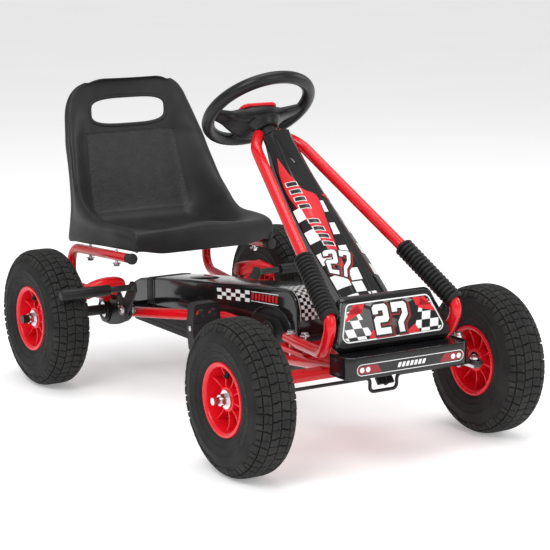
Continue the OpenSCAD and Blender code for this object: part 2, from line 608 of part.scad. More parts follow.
module pedal_right() { pedal(-1); }
module pedal_left() { pedal(1); }

// ---------------------------------------------------------------- brakes

brake_x = [134, 139];
module brake_lever(s) {
  placed() color(black) left_side(s) difference() {
    union() {
      xplate(-brake_x[1], -brake_x[0], [[256, 136], [268, 136], [276, 150], [296, 176], [286, 184], [266, 160], [232, 206], [218, 206], [214, 192], [250, 140]]);
      xcyl(-brake_x[1], -brake_x[0], 262, 146, 11);
      xcyl(-287, -brake_x[0], 224, 197, 6);
      xcyl(-brake_x[1] - 2, -brake_x[0], 288, 178, 8);
    }
    xcyl(-150, -120, 262, 146, 5.05);
    xcyl(-150, -120, 262, 146, 5.05);
  }
}
module brake_lever_right() { brake_lever(-1); }
module brake_lever_left() { brake_lever(1); }
module brake_grip(s) {
  placed() color(red) left_side(s) translate([-168, 287, 187]) rotate([0, -8, 0]) difference() {
    translate([-42, 0, 0]) rotate([90, 0, 90]) linear_extrude(84) polygon(round_poly([[-15, -12], [15, -12], [14, 13], [-14, 13]], 8, 4));
    translate([25, -9, -15]) cube([9, 18, 12]);
  }
}
module brake_grip_right() { brake_grip(-1); }
module brake_grip_left() { brake_grip(1); }
module brake_shoe(s) {
  placed() color(black) left_side(s) difference() {
    xcyl(-288.5, -188, 224, 197, 10.5);
    xcyl(-287, -187, 224, 197, 6);
  }
}
module brake_shoe_right() { brake_shoe(-1); }
module brake_shoe_left() { brake_shoe(1); }

// ---------------------------------------------------------------- drawing
side_rail_right();
side_rail_left();
crank_plates();
front_frame();
front_axle_beam();
steering_support_right();
steering_support_left();
bellows_right();
bellows_left();
fairing();
number_board();
front_bumper();
chain_case_upper();
chain_case_lower();
drive_chain();
seat_shell();
seat_support_right();
seat_support_left();
tube_end_caps();
frame_bolts();
axle_brackets();
axle_bearings();
crank_bearings();
column_bushes();
brake_springs();
steering_column();
steering_wheel();
wheel_pad();
wheel_bolt();
tie_rod();
knuckle_right();
knuckle_left();
front_axle_nut_right();
front_axle_nut_left();
front_tyre_right();
front_tyre_left();
front_rim_right();
front_rim_left();
front_bearings_right();
front_bearings_left();
front_inner_tube_right();
front_inner_tube_left();
rear_axle();
rear_sprocket();
rear_tyre_right();
rear_tyre_left();
rear_rim_right();
rear_rim_left();
rear_axle_nuts();
rear_inner_tubes();
crankset();
chainring();
pedal_right();
pedal_left();
brake_lever_right();
brake_lever_left();
brake_grip_right();
brake_grip_left();
brake_shoe_right();
brake_shoe_left();
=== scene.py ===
import math
import random

import bmesh
import bpy
from mathutils import Matrix, Vector
from mathutils.geometry import tessellate_polygon


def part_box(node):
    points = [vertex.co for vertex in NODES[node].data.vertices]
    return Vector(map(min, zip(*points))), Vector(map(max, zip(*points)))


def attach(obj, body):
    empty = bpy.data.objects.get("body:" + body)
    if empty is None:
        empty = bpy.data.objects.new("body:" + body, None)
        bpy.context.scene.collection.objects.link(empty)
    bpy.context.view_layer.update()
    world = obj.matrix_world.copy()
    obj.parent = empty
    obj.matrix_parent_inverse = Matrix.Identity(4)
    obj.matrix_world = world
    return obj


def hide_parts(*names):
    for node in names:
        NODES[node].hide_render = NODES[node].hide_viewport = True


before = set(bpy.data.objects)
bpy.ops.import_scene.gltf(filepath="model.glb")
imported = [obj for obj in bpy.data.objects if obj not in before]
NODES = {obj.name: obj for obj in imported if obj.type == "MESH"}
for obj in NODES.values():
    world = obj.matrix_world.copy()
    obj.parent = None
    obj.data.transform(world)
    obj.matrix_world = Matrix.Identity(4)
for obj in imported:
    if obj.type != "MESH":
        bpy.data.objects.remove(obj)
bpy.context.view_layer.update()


def cen(n):
    a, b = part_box(n)
    return (a + b) / 2


# All shapes below are written in millimetres about the kart's own datum, a
# point on the ground, 354 mm from both axle lines. D is where it lies here.
D = Vector((0, (cen("front_tyre_right").y + cen("rear_tyre_right").y) / 2 * 1000, 0))
AXZ = cen("front_tyre_right").z * 1000
YF = cen("front_tyre_right").y * 1000 - D.y
YR = cen("rear_tyre_right").y * 1000 - D.y
XF = cen("front_tyre_left").x * 1000
XR = cen("rear_tyre_left").x * 1000


def W(p):
    return (Vector(p) + D) * 0.001


def V(*a):
    return Vector(a)


def unit(v):
    return Vector(v).normalized()


def lerp(a, b, t):
    return a + (b - a) * t


def smooth(t):
    t = min(1, max(0, t))
    return t * t * (3 - 2 * t)


# ------------------------------------------------------------------ camera
cam_data = bpy.data.cameras.new("camera")
cam = bpy.data.objects.new("camera", cam_data)
bpy.context.scene.collection.objects.link(cam)
bpy.context.scene.camera = cam
cam_data.lens = 124.49
cam_data.sensor_width = 36
cam_data.clip_start = 0.05
cam_data.clip_end = 60
R, U, B = V(0.84888, -0.52860, 0), V(0.10403, 0.16706, 0.98046), V(-0.51826, -0.83228, 0.19680)
pos = W((-1765.5, -2896.0, 924.6))
cam.matrix_world = Matrix(((R.x, U.x, B.x, pos.x), (R.y, U.y, B.y, pos.y), (R.z, U.z, B.z, pos.z), (0, 0, 0, 1)))

# ------------------------------------------------------------------ light
world = bpy.data.worlds.new("studio")
bpy.context.scene.world = world
world.use_nodes = True
world.node_tree.nodes["Background"].inputs[0].default_value = (1, 1, 1, 1)
world.node_tree.nodes["Background"].inputs[1].default_value = 0.55
bpy.context.scene.view_settings.view_transform = "Standard"


def area(name, at, target, size, power, sy=None):
    d = bpy.data.lights.new(name, "AREA")
    d.energy = power
    d.shape = "RECTANGLE"
    d.size = size
    d.size_y = sy or size
    o = bpy.data.objects.new(name, d)
    bpy.context.scene.collection.objects.link(o)
    o.location = at
    o.rotation_euler = (Vector(target) - Vector(at)).to_track_quat("-Z", "Y").to_euler()
    return o


area("key", (-2.2, -1.6, 3.0), (0, 0, 0.3), 1.8, 64)
area("front", (0.8, -3.4, 1.8), (0, 0, 0.3), 1.6, 26)
area("top", (0.3, 0.3, 3.4), (0, 0, 0.2), 2.2, 40)
area("side", (3.0, -0.6, 1.6), (0, 0, 0.3), 1.6, 18)


# ------------------------------------------------------------------ materials
def material(name, a, b, rough=(0.4, 0.5), metal=0.0, scale=30.0, bump=0.1, bump_scale=None, coat=0.0,
             coat_rough=0.05, spec=0.5, stretch=None, painted_edge_highlight=None, kind="noise", dist=0.0004):
    """Colour wanders between a and b, roughness between its two values; a fine bump; an optional edge colour lightens
    sharp convex edges as a painted highlight.
    """
    m = bpy.data.materials.new(name)
    m.use_nodes = True
    nt = m.node_tree
    n, l = nt.nodes, nt.links
    bsdf = n["Principled BSDF"]
    bsdf.inputs["Metallic"].default_value = metal
    bsdf.inputs["Coat Weight"].default_value = coat
    bsdf.inputs["Coat Roughness"].default_value = coat_rough
    bsdf.inputs["Specular IOR Level"].default_value = spec
    tc = n.new("ShaderNodeTexCoord")
    mp = n.new("ShaderNodeMapping")
    mp.inputs["Scale"].default_value = stretch or (1, 1, 1)
    l.new(tc.outputs["Object"], mp.inputs["Vector"])
    nz = n.new("ShaderNodeTexNoise")
    nz.inputs["Scale"].default_value = scale
    nz.inputs["Detail"].default_value = 5
    l.new(mp.outputs["Vector"], nz.inputs["Vector"])
    ramp = n.new("ShaderNodeValToRGB")
    ramp.color_ramp.elements[0].position = 0.3
    ramp.color_ramp.elements[1].position = 0.7
    ramp.color_ramp.elements[0].color = (*a, 1)
    ramp.color_ramp.elements[1].color = (*b, 1)
    l.new(nz.outputs["Fac"], ramp.inputs["Fac"])
    colour = ramp.outputs["Color"]
    # painted highlight: sharp convex edges, found by pointiness, are lightened towards the given edge colour
    if painted_edge_highlight:
        g = n.new("ShaderNodeNewGeometry")
        edge_highlight_range = n.new("ShaderNodeMapRange")
        edge_highlight_range.inputs["From Min"].default_value = 0.53
        edge_highlight_range.inputs["From Max"].default_value = 0.62
        l.new(g.outputs["Pointiness"], edge_highlight_range.inputs["Value"])
        mul = n.new("ShaderNodeMath")
        mul.operation = "MULTIPLY"
        l.new(edge_highlight_range.outputs["Result"], mul.inputs[0])
        l.new(nz.outputs["Fac"], mul.inputs[1])
        mx = n.new("ShaderNodeMix")
        mx.data_type = "RGBA"
        l.new(mul.outputs["Value"], mx.inputs["Factor"])
        l.new(colour, mx.inputs["A"])
        mx.inputs["B"].default_value = (*painted_edge_highlight, 1)
        colour = mx.outputs["Result"]
    l.new(colour, bsdf.inputs["Base Color"])
    mr = n.new("ShaderNodeMapRange")
    mr.inputs["To Min"].default_value = rough[0]
    mr.inputs["To Max"].default_value = rough[1]
    nz2 = n.new("ShaderNodeTexNoise")
    nz2.inputs["Scale"].default_value = scale * 2.3
    nz2.inputs["Detail"].default_value = 3
    l.new(mp.outputs["Vector"], nz2.inputs["Vector"])
    l.new(nz2.outputs["Fac"], mr.inputs["Value"])
    l.new(mr.outputs["Result"], bsdf.inputs["Roughness"])
    if kind == "voronoi":
        bz = n.new("ShaderNodeTexVoronoi")
        bz.inputs["Scale"].default_value = bump_scale or scale * 10
        out = bz.outputs["Distance"]
    else:
        bz = n.new("ShaderNodeTexNoise")
        bz.inputs["Scale"].default_value = bump_scale or scale * 10
        bz.inputs["Detail"].default_value = 3
        out = bz.outputs["Fac"]
    l.new(mp.outputs["Vector"], bz.inputs["Vector"])
    bp = n.new("ShaderNodeBump")
    bp.inputs["Strength"].default_value = bump
    bp.inputs["Distance"].default_value = dist
    l.new(out, bp.inputs["Height"])
    l.new(bp.outputs["Normal"], bsdf.inputs["Normal"])
    return m


# red paint: its edge colour is the bright red of a lit edge, a painted highlight on sharp edges
RED = material("red_paint", (0.64, 0.003, 0.008), (0.74, 0.005, 0.012), (0.16, 0.24), scale=14, bump=0.12, bump_scale=220, coat=0.35, coat_rough=0.06, spec=0.3, painted_edge_highlight=(0.74, 0.02, 0.024))
REDP = material("red_plastic", (0.70, 0.006, 0.010), (0.80, 0.010, 0.016), (0.28, 0.36), scale=22, bump=0.1, bump_scale=600, coat=0.2, coat_rough=0.15, spec=0.3)
RIMRED = material("rim_plastic", (0.70, 0.006, 0.014), (0.80, 0.010, 0.022), (0.22, 0.32), scale=26, bump=0.1, bump_scale=500, coat=0.2, coat_rough=0.12, spec=0.3)
GLOSS = material("gloss_black", (0.005, 0.005, 0.006), (0.010, 0.010, 0.011), (0.10, 0.18), scale=18, bump=0.08, bump_scale=260, coat=0.3, coat_rough=0.04, spec=0.3)
# black paint: lighter grey on sharp edges, a painted highlight
BLACKP = material("black_paint", (0.008, 0.008, 0.009), (0.018, 0.018, 0.019), (0.28, 0.42), scale=30, bump=0.15, bump_scale=500, coat=0.1, coat_rough=0.2, spec=0.3, painted_edge_highlight=(0.04, 0.04, 0.04))
MATT = material("matt_plastic", (0.018, 0.018, 0.019), (0.030, 0.030, 0.032), (0.52, 0.66), scale=40, bump=0.35, bump_scale=900, spec=0.3)
SEATM = material("seat_plastic", (0.012, 0.012, 0.013), (0.020, 0.020, 0.021), (0.38, 0.50), scale=24, bump=0.3, bump_scale=1100, spec=0.32)
PEBBLE = material("seat_pebble", (0.010, 0.010, 0.011), (0.020, 0.020, 0.021), (0.42, 0.58), scale=60, bump=0.9, bump_scale=330, kind="voronoi", dist=0.0009)
WHEELP = material("wheel_plastic", (0.007, 0.007, 0.008), (0.014, 0.014, 0.015), (0.26, 0.38), scale=30, bump=0.3, bump_scale=1200, spec=0.28)
RUBBER = material("bellows_rubber", (0.006, 0.006, 0.006), (0.012, 0.012, 0.012), (0.32, 0.46), scale=40, bump=0.2, bump_scale=700, spec=0.28)
# tyre: lighter grey on the sharp lug edges, a painted highlight
TYRE = material("tyre_rubber", (0.010, 0.010, 0.010), (0.022, 0.0215, 0.021), (0.60, 0.80), scale=24, bump=0.35, bump_scale=520, spec=0.22, painted_edge_highlight=(0.045, 0.044, 0.042))
ZINC = material("zinc_plate", (0.62, 0.62, 0.64), (0.78, 0.78, 0.80), (0.20, 0.36), metal=1.0, scale=60, bump=0.12, bump_scale=900)
STEEL = material("chain_steel", (0.28, 0.27, 0.26), (0.42, 0.41, 0.40), (0.30, 0.45), metal=1.0, scale=80, bump=0.15, bump_scale=900)
WHITE = material("decal_white", (0.80, 0.80, 0.80), (0.88, 0.88, 0.88), (0.22, 0.30), scale=30, bump=0.03, bump_scale=400)
DRED = material("decal_red", (0.62, 0.010, 0.018), (0.70, 0.014, 0.022), (0.22, 0.30), scale=30, bump=0.03, bump_scale=400)
DDARK = material("decal_dark_red", (0.22, 0.008, 0.012), (0.30, 0.010, 0.014), (0.22, 0.30), scale=30, bump=0.03, bump_scale=400)
DGREY = material("decal_grey", (0.16, 0.16, 0.165), (0.24, 0.24, 0.245), (0.22, 0.30), scale=30, bump=0.03, bump_scale=400)
DBLACK = material("decal_black", (0.006, 0.006, 0.006), (0.012, 0.012, 0.012), (0.20, 0.28), scale=30, bump=0.03, bump_scale=400)
FLOOR = material("floor", (0.90, 0.90, 0.90), (0.94, 0.94, 0.94), (0.7, 0.9), scale=2, bump=0.02, bump_scale=60)


# ------------------------------------------------------------------ mesh tools
PIECES = []


def piece(name, verts, faces, mat, body, smooth_faces=True, bevel=0.0, segs=2, angle=35, sub=0, replaces=(), at=None, world=True):
    me = bpy.data.meshes.new(name)
    me.from_pydata([W(p) if world else Vector(p) * 0.001 for p in verts], [], [tuple(f) for f in faces])
    me.validate()
    bm = bmesh.new()
    bm.from_mesh(me)
    bmesh.ops.remove_doubles(bm, verts=bm.verts, dist=1e-7)
    bmesh.ops.recalc_face_normals(bm, faces=bm.faces)
    bm.to_mesh(me)
    bm.free()
    return finish_piece(name, me, mat, body, smooth_faces, bevel, segs, angle, sub, replaces, at)


def finish_piece(name, me, mat, body, smooth_faces=True, bevel=0.0, segs=2, angle=35, sub=0, replaces=(), at=None):
    if not me.materials:
        me.materials.append(mat)
    for p in me.polygons:
        p.use_smooth = smooth_faces
    o = bpy.data.objects.new(name, me)
    bpy.context.scene.collection.objects.link(o)
    if at is not None:
        o.location = at
    if bevel:
        md = o.modifiers.new("edges", "BEVEL")
        md.width = bevel * 0.001
        md.segments = segs
        md.limit_method = "ANGLE"
        md.angle_limit = math.radians(angle)
        md.harden_normals = False
    if sub:
        md = o.modifiers.new("sub", "SUBSURF")
        md.levels = md.render_levels = sub
    if smooth_faces:
        sharp(o, angle)
    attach(o, body)
    if replaces:
        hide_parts(*replaces)
    PIECES.append(o)
    return o


def sharp(o, angle):
    """Edges sharper than angle stay crisp."""
    me = o.data
    bm = bmesh.new()
    bm.from_mesh(me)
    lim = math.radians(angle)
    for e in bm.edges:
        if len(e.link_faces) == 2 and e.calc_face_angle(0) > lim:
            e.smooth = False
    bm.to_mesh(me)
    bm.free()


def bent(pts, rads, step=8):
    pts = [Vector(p) for p in pts]
    d = [unit(pts[i + 1] - pts[i]) for i in range(len(pts) - 1)]
    out = [pts[0]]
    for i in range(1, len(pts) - 1):
        th = math.acos(max(-1, min(1, d[i - 1].dot(d[i]))))
        if th < 1e-3:
            out.append(pts[i])
            continue
        rad = rads[i - 1] if isinstance(rads, list) else rads
        t = rad * math.tan(th / 2)
        m = unit(d[i] - d[i].dot(d[i - 1]) * d[i - 1])
        c = pts[i] - d[i - 1] * t + m * rad
        k = max(2, math.ceil(math.degrees(th) / step))
        for q in range(k + 1):
            a = th * q / k
            out.append(c - m * rad * math.cos(a) + d[i - 1] * rad * math.sin(a))
    out.append(pts[-1])
    return out


def sweep(path, r, n=20, ends=True, sect=None, closed=False, up=None):
    """Verts and faces of a tube along path; r is a number or a list; sect is a list of 2-D points in place of a circle."""
    path = [Vector(p) for p in path]
    N = len(path)
    sect = sect or [(math.cos(2 * math.pi * k / n), math.sin(2 * math.pi * k / n)) for k in range(n)]
    n = len(sect)
    rs = r if isinstance(r, (list, tuple)) else [r] * N
    verts, faces = [], []
    prev = None
    for i in range(N):
        a = path[(i - 1) % N] if (closed or i > 0) else path[i]
        b = path[(i + 1) % N] if (closed or i < N - 1) else path[i]
        t = unit(b - a)
        if prev is None:
            x = Vector(up) if up else (V(0, 0, 1) if abs(t.z) < 0.9 else V(1, 0, 0))
            x = unit(x - t * x.dot(t))
        else:
            x = unit(prev - t * prev.dot(t))
        prev = x
        y = t.cross(x)
        for (u, v) in sect:
            verts.append(path[i] + x * u * rs[i] + y * v * rs[i])
    M = N if closed else N - 1
    for i in range(M):
        for k in range(n):
            j = (i + 1) % N
            faces.append((i * n + k, i * n + (k + 1) % n, j * n + (k + 1) % n, j * n + k))
    if ends and not closed:
        faces.append(tuple(range(n))[::-1])
        faces.append(tuple((N - 1) * n + k for k in range(n)))
    return verts, faces


def pipe_end(path, r, t=1.5):
    """A closed tube along path of radius r, as sweep makes it."""
    return sweep(path, r)


def revolve(profile, o, axis, n=64, xref=None):
    """Closed ring of the (axial, radial) profile about axis through o."""
    o, z = Vector(o), unit(axis)
    x = Vector(xref) if xref else (V(0, 0, 1) if abs(z.z) < 0.9 else V(1, 0, 0))
    x = unit(x - z * x.dot(z))
    y = z.cross(x)
    verts, faces = [], []
    P = len(profile)
    for k in range(n):
        a = 2 * math.pi * k / n
        for (h, r) in profile:
            verts.append(o + z * h + (x * math.cos(a) + y * math.sin(a)) * r)
    closed = profile[0][1] > 1e-6 or profile[-1][1] > 1e-6
    for k in range(n):
        k2 = (k + 1) % n
        for i in range(P if closed else P - 1):
            j = (i + 1) % P
            a, b, c, d = k * P + i, k * P + j, k2 * P + j, k2 * P + i
            if profile[i][1] < 1e-6 and profile[j][1] < 1e-6:
                continue
            if profile[i][1] < 1e-6:
                faces.append((a, b, c))
            elif profile[j][1] < 1e-6:
                faces.append((a, b, d))
            else:
                faces.append((a, b, c, d))
    return verts, faces


def join(*parts):
    verts, faces = [], []
    for v, f in parts:
        k = len(verts)
        verts += list(v)
        faces += [tuple(i + k for i in q) for q in f]
    return verts, faces


def frame_of(o, z, x=None):
    z = unit(z)
    x = Vector(x) if x is not None else (V(0, 0, 1) if abs(z.z) < 0.9 else V(1, 0, 0))
    x = unit(x - z * x.dot(z))
    y = z.cross(x)
    return Matrix(((x.x, y.x, z.x, o[0]), (x.y, y.y, z.y, o[1]), (x.z, y.z, z.z, o[2]), (0, 0, 0, 1)))


def prism(poly, h0, h1, mat4=None):
    """The 2-D outline poly, from h0 to h1 along local z."""
    n = len(poly)
    v = [Vector((p[0], p[1], h0)) for p in poly] + [Vector((p[0], p[1], h1)) for p in poly]
    if mat4 is not None:
        v = [mat4 @ p for p in v]
    f = [tuple(range(n))[::-1], tuple(range(n, 2 * n))] + [(i, (i + 1) % n, n + (i + 1) % n, n + i) for i in range(n)]
    return v, f


def plate_x(x0, x1, pts):
    """pts is [(y, z)...], a plate across x."""
    n = len(pts)
    v = [V(x0, p[0], p[1]) for p in pts] + [V(x1, p[0], p[1]) for p in pts]
    f = [tuple(range(n))[::-1], tuple(range(n, 2 * n))] + [(i, (i + 1) % n, n + (i + 1) % n, n + i) for i in range(n)]
    return v, f


def cyl(a, b, r, n=32, ch=0.0):
    a, b = Vector(a), Vector(b)
    L = (b - a).length
    c = min(ch, r * 0.5, L * 0.4)
    if c:
        prof = [(0, 0), (0, r - c), (c * 0.3, r - c * 0.3), (c, r), (L - c, r), (L - c * 0.3, r - c * 0.3), (L, r - c), (L, 0)]
    else:
        prof = [(0, 0), (0, r), (L, r), (L, 0)]
    return revolve(prof, a, b - a, n)


def round_poly(p, r, n=5):
    out = []
    p = [Vector((q[0], q[1], 0)) for q in p]
    rs = r if isinstance(r, (list, tuple)) else [r] * len(p)
    for i in range(len(p)):
        a, q, w = p[i], unit(p[i - 1] - p[i]), unit(p[(i + 1) % len(p)] - p[i])
        h = math.acos(max(-1, min(1, q.dot(w)))) / 2
        if h > math.pi / 2 - 0.01 or rs[i] <= 0:
            out.append((a.x, a.y))
            continue
        c = a + unit(q + w) * rs[i] / math.sin(h)
        d = rs[i] / math.tan(h)
        s, e = a + q * d, a + w * d
        for k in range(n + 1):
            v = c + rs[i] * unit(s.lerp(e, k / n) - c)
            out.append((v.x, v.y))
    return out


def hexpoly(r, a0=0.0):
    return [(r * math.cos(a0 + math.pi * k / 3), r * math.sin(a0 + math.pi * k / 3)) for k in range(6)]


def hexnut(a, d, r, h, washer=None):
    """A chamfered hexagon head of across-corner radius r and height h from a along d, on an optional washer (radius, thickness)."""
    d = unit(d)
    parts = []
    a = Vector(a)
    if washer:
        parts.append(revolve([(0, 0), (0, washer[0] - 0.4), (0.3, washer[0]), (washer[1] - 0.3, washer[0]), (washer[1], washer[0] - 0.4), (washer[1], 0)], a, d, 40))
        a = a + d * washer[1]
    m = frame_of(a, d)
    n = 36
    rings = []
    for (hh, q) in ((0, 1.0), (h * 0.8, 1.0), (h, 0.86)):
        ring = []
        for k in range(n):
            t = 2 * math.pi * k / n
            hexr = r * math.cos(math.pi / 6) / math.cos((t % (math.pi / 3)) - math.pi / 6)
            rr = min(hexr, r * (1.0 if hh < h else 0.86))
            ring.append(m @ V(rr * math.cos(t), rr * math.sin(t), hh))
        rings.append(ring)
    v = [p for ring in rings for p in ring]
    f = []
    for i in range(2):
        for k in range(n):
            f.append((i * n + k, i * n + (k + 1) % n, (i + 1) * n + (k + 1) % n, (i + 1) * n + k))
    f.append(tuple(range(n))[::-1])
    f.append(tuple(2 * n + k for k in range(n)))
    parts.append((v, f))
    return join(*parts)


def grid_faces(nr, nc, wrap=False):
    f = []
    for i in range(nr - 1):
        for j in range(nc if wrap else nc - 1):
            f.append((i * nc + j, i * nc + (j + 1) % nc, (i + 1) * nc + (j + 1) % nc, (i + 1) * nc + j))
    return f


# A decal is thin film: flat outlines in mm, cut fine and laid on a surface.
def decal(name, polys, surf, mat, body, lift=0.35, fine=12.0):
    bm = bmesh.new()
    for poly in polys:
        loops = poly if isinstance(poly[0][0], (tuple, list)) else [poly]
        pts = [Vector((p[0], p[1], 0)) for lp in loops for p in lp]
        tris = tessellate_polygon([[Vector((p[0], p[1], 0)) for p in lp] for lp in loops])
        vs = [bm.verts.new(p) for p in pts]
        for t in tris:
            try:
                bm.faces.new([vs[i] for i in t])
            except ValueError:
                pass
    for _ in range(7):
        long = [e for e in bm.edges if e.calc_length() > fine]
        if not long:
            break
        bmesh.ops.subdivide_edges(bm, edges=long, cuts=1, use_grid_fill=False)
        bmesh.ops.triangulate(bm, faces=[f for f in bm.faces if len(f.verts) > 3])
    for v in bm.verts:
        p, n = surf(v.co.x, v.co.y)
        v.co = W(p + n * lift)
    me = bpy.data.meshes.new(name)
    bm.to_mesh(me)
    bm.free()
    return finish_piece(name, me, mat, body, True, angle=60)


SEG7 = {"0": "abcdef", "1": "bc", "2": "abged", "7": "abc", "3": "abgcd", "5": "afgcd"}


def digit_27(w, h, t):
    """Two generic block numerals, 2 and 7, as outlines in a box w x h each; t is the stroke."""
    c = t * 0.45
    two = [(0, h - c), (c, h), (w - c, h), (w, h - c), (w, h / 2 - t * 0.5 + c), (w - c, h / 2 - t * 0.5), (t, h / 2 - t * 0.5),
           (t, t), (w, t), (w, 0), (0, 0), (0, h / 2 + t * 0.5 - c), (c, h / 2 + t * 0.5), (w - t, h / 2 + t * 0.5), (w - t, h - t), (t, h - t), (t, h - t * 1.5), (0, h - t * 1.5)]
    seven = [(0, h - t * 1.5), (0, h), (w - c, h), (w, h - c), (w, h * 0.55), (w * 0.62, h * 0.30), (w * 0.62, 0), (w * 0.62 - t, 0), (w * 0.62 - t, h * 0.34), (w - t, h * 0.62), (w - t, h - t), (t, h - t), (t, h - t * 1.5)]
    return two, seven


def shift(poly, dx, dy, s=1.0, shear=0.0):
    return [(p[0] * s + dx + shear * p[1] * s, p[1] * s + dy) for p in poly]


def grow(poly, g):
    """Offsets a simple outline outwards by g."""
    n = len(poly)
    area2 = sum(poly[i][0] * poly[(i + 1) % n][1] - poly[(i + 1) % n][0] * poly[i][1] for i in range(n))
    s = 1 if area2 > 0 else -1
    out = []
    for i in range(n):
        p0, p1, p2 = Vector(poly[i - 1]), Vector(poly[i]), Vector(poly[(i + 1) % n])
        d1, d2 = (p1 - p0).normalized(), (p2 - p1).normalized()
        n1, n2 = Vector((d1.y, -d1.x)) * s, Vector((d2.y, -d2.x)) * s
        m = (n1 + n2)
        m = m / max(0.5, m.dot(n1)) if m.length > 1e-6 else n1
        q = p1 + m * g
        out.append((q.x, q.y))
    return out


# ------------------------------------------------------------------ wheels
# One tyre, centred on the origin with its axis along X, is shared by all four.
CARC = [(126.2, 0), (126.1, 8), (125.8, 15), (125, 20), (123.2, 24), (120.2, 28), (116, 32), (110.5, 35.4), (104, 37.8), (98, 39.2), (94.6, 39.7),
        (93.8, 40.5), (92.2, 40.6), (91.4, 40.0), (86, 39.7), (81, 38.9), (79.8, 38.7), (79.0, 39.3), (77.4, 39.0), (76.6, 37.9), (73, 36.8), (69.6, 35.4), (68.8, 35.7), (67.4, 35.2), (66.4, 34.2), (63.6, 33.2), (61.6, 31.6), (59.5, 30.2), (58.8, 28), (58.8, 12)]
CREST = [(130, 0), (130, 10), (129.9, 15), (129.2, 20), (127.6, 24.5), (124.6, 29), (120.4, 33), (115, 36.3), (108.5, 38.8), (102, 40.2), (97.5, 40.7)]


def arc_table(pts):
    s = [0]
    for i in range(len(pts) - 1):
        s.append(s[-1] + math.dist(pts[i], pts[i + 1]))
    return s


CREST_S = arc_table(CREST)


def crest(s):
    q = abs(s)
    for i in range(len(CREST) - 1):
        if q <= CREST_S[i + 1] or i == len(CREST) - 2:
            t = (q - CREST_S[i]) / (CREST_S[i + 1] - CREST_S[i])
            r, x = lerp(CREST[i][0], CREST[i + 1][0], t), lerp(CREST[i][1], CREST[i + 1][1], t)
            dr, dx = CREST[i + 1][0] - CREST[i][0], CREST[i + 1][1] - CREST[i][1]
            k = math.hypot(dr, dx)
            return r, math.copysign(x, s), (dx / k, math.copysign(-dr / k, s))


def tread_point(th, s, depth):
    r, x, (nr, nx) = crest(s)
    r, x = r - nr * depth, x - nx * depth
    return V(x, r * math.sin(th), r * math.cos(th))


def lug(outline, depth, chamfer=0.9):
    """A tread block: its outline in (mm round the tyre, mm across it), and how deep it is rooted."""
    R0 = 130.0
    n = len(outline)
    cx, cy = sum(p[0] for p in outline) / n, sum(p[1] for p in outline) / n
    rings = []
    for (d, k) in ((depth, -0.7), (chamfer * 0.9, 0.0), (chamfer * 0.25, chamfer * 0.35), (0.0, chamfer)):
        ring = []
        for i, p in enumerate(outline):
            v = Vector((cx - p[0], cy - p[1]))
            L = max(v.length, 1e-6)
            q = (p[0] + v.x / L * k * 1.3, p[1] + v.y / L * k * 1.3)
            ring.append(tread_point(q[0] / R0, q[1], d))
        rings.append(ring)
    verts = [p for r in rings for p in r]
    faces = []
    for j in range(3):
        for i in range(n):
            faces.append((j * n + i, j * n + (i + 1) % n, (j + 1) * n + (i + 1) % n, (j + 1) * n + i))
    faces.append(tuple(3 * n + i for i in range(n)))
    return verts, faces


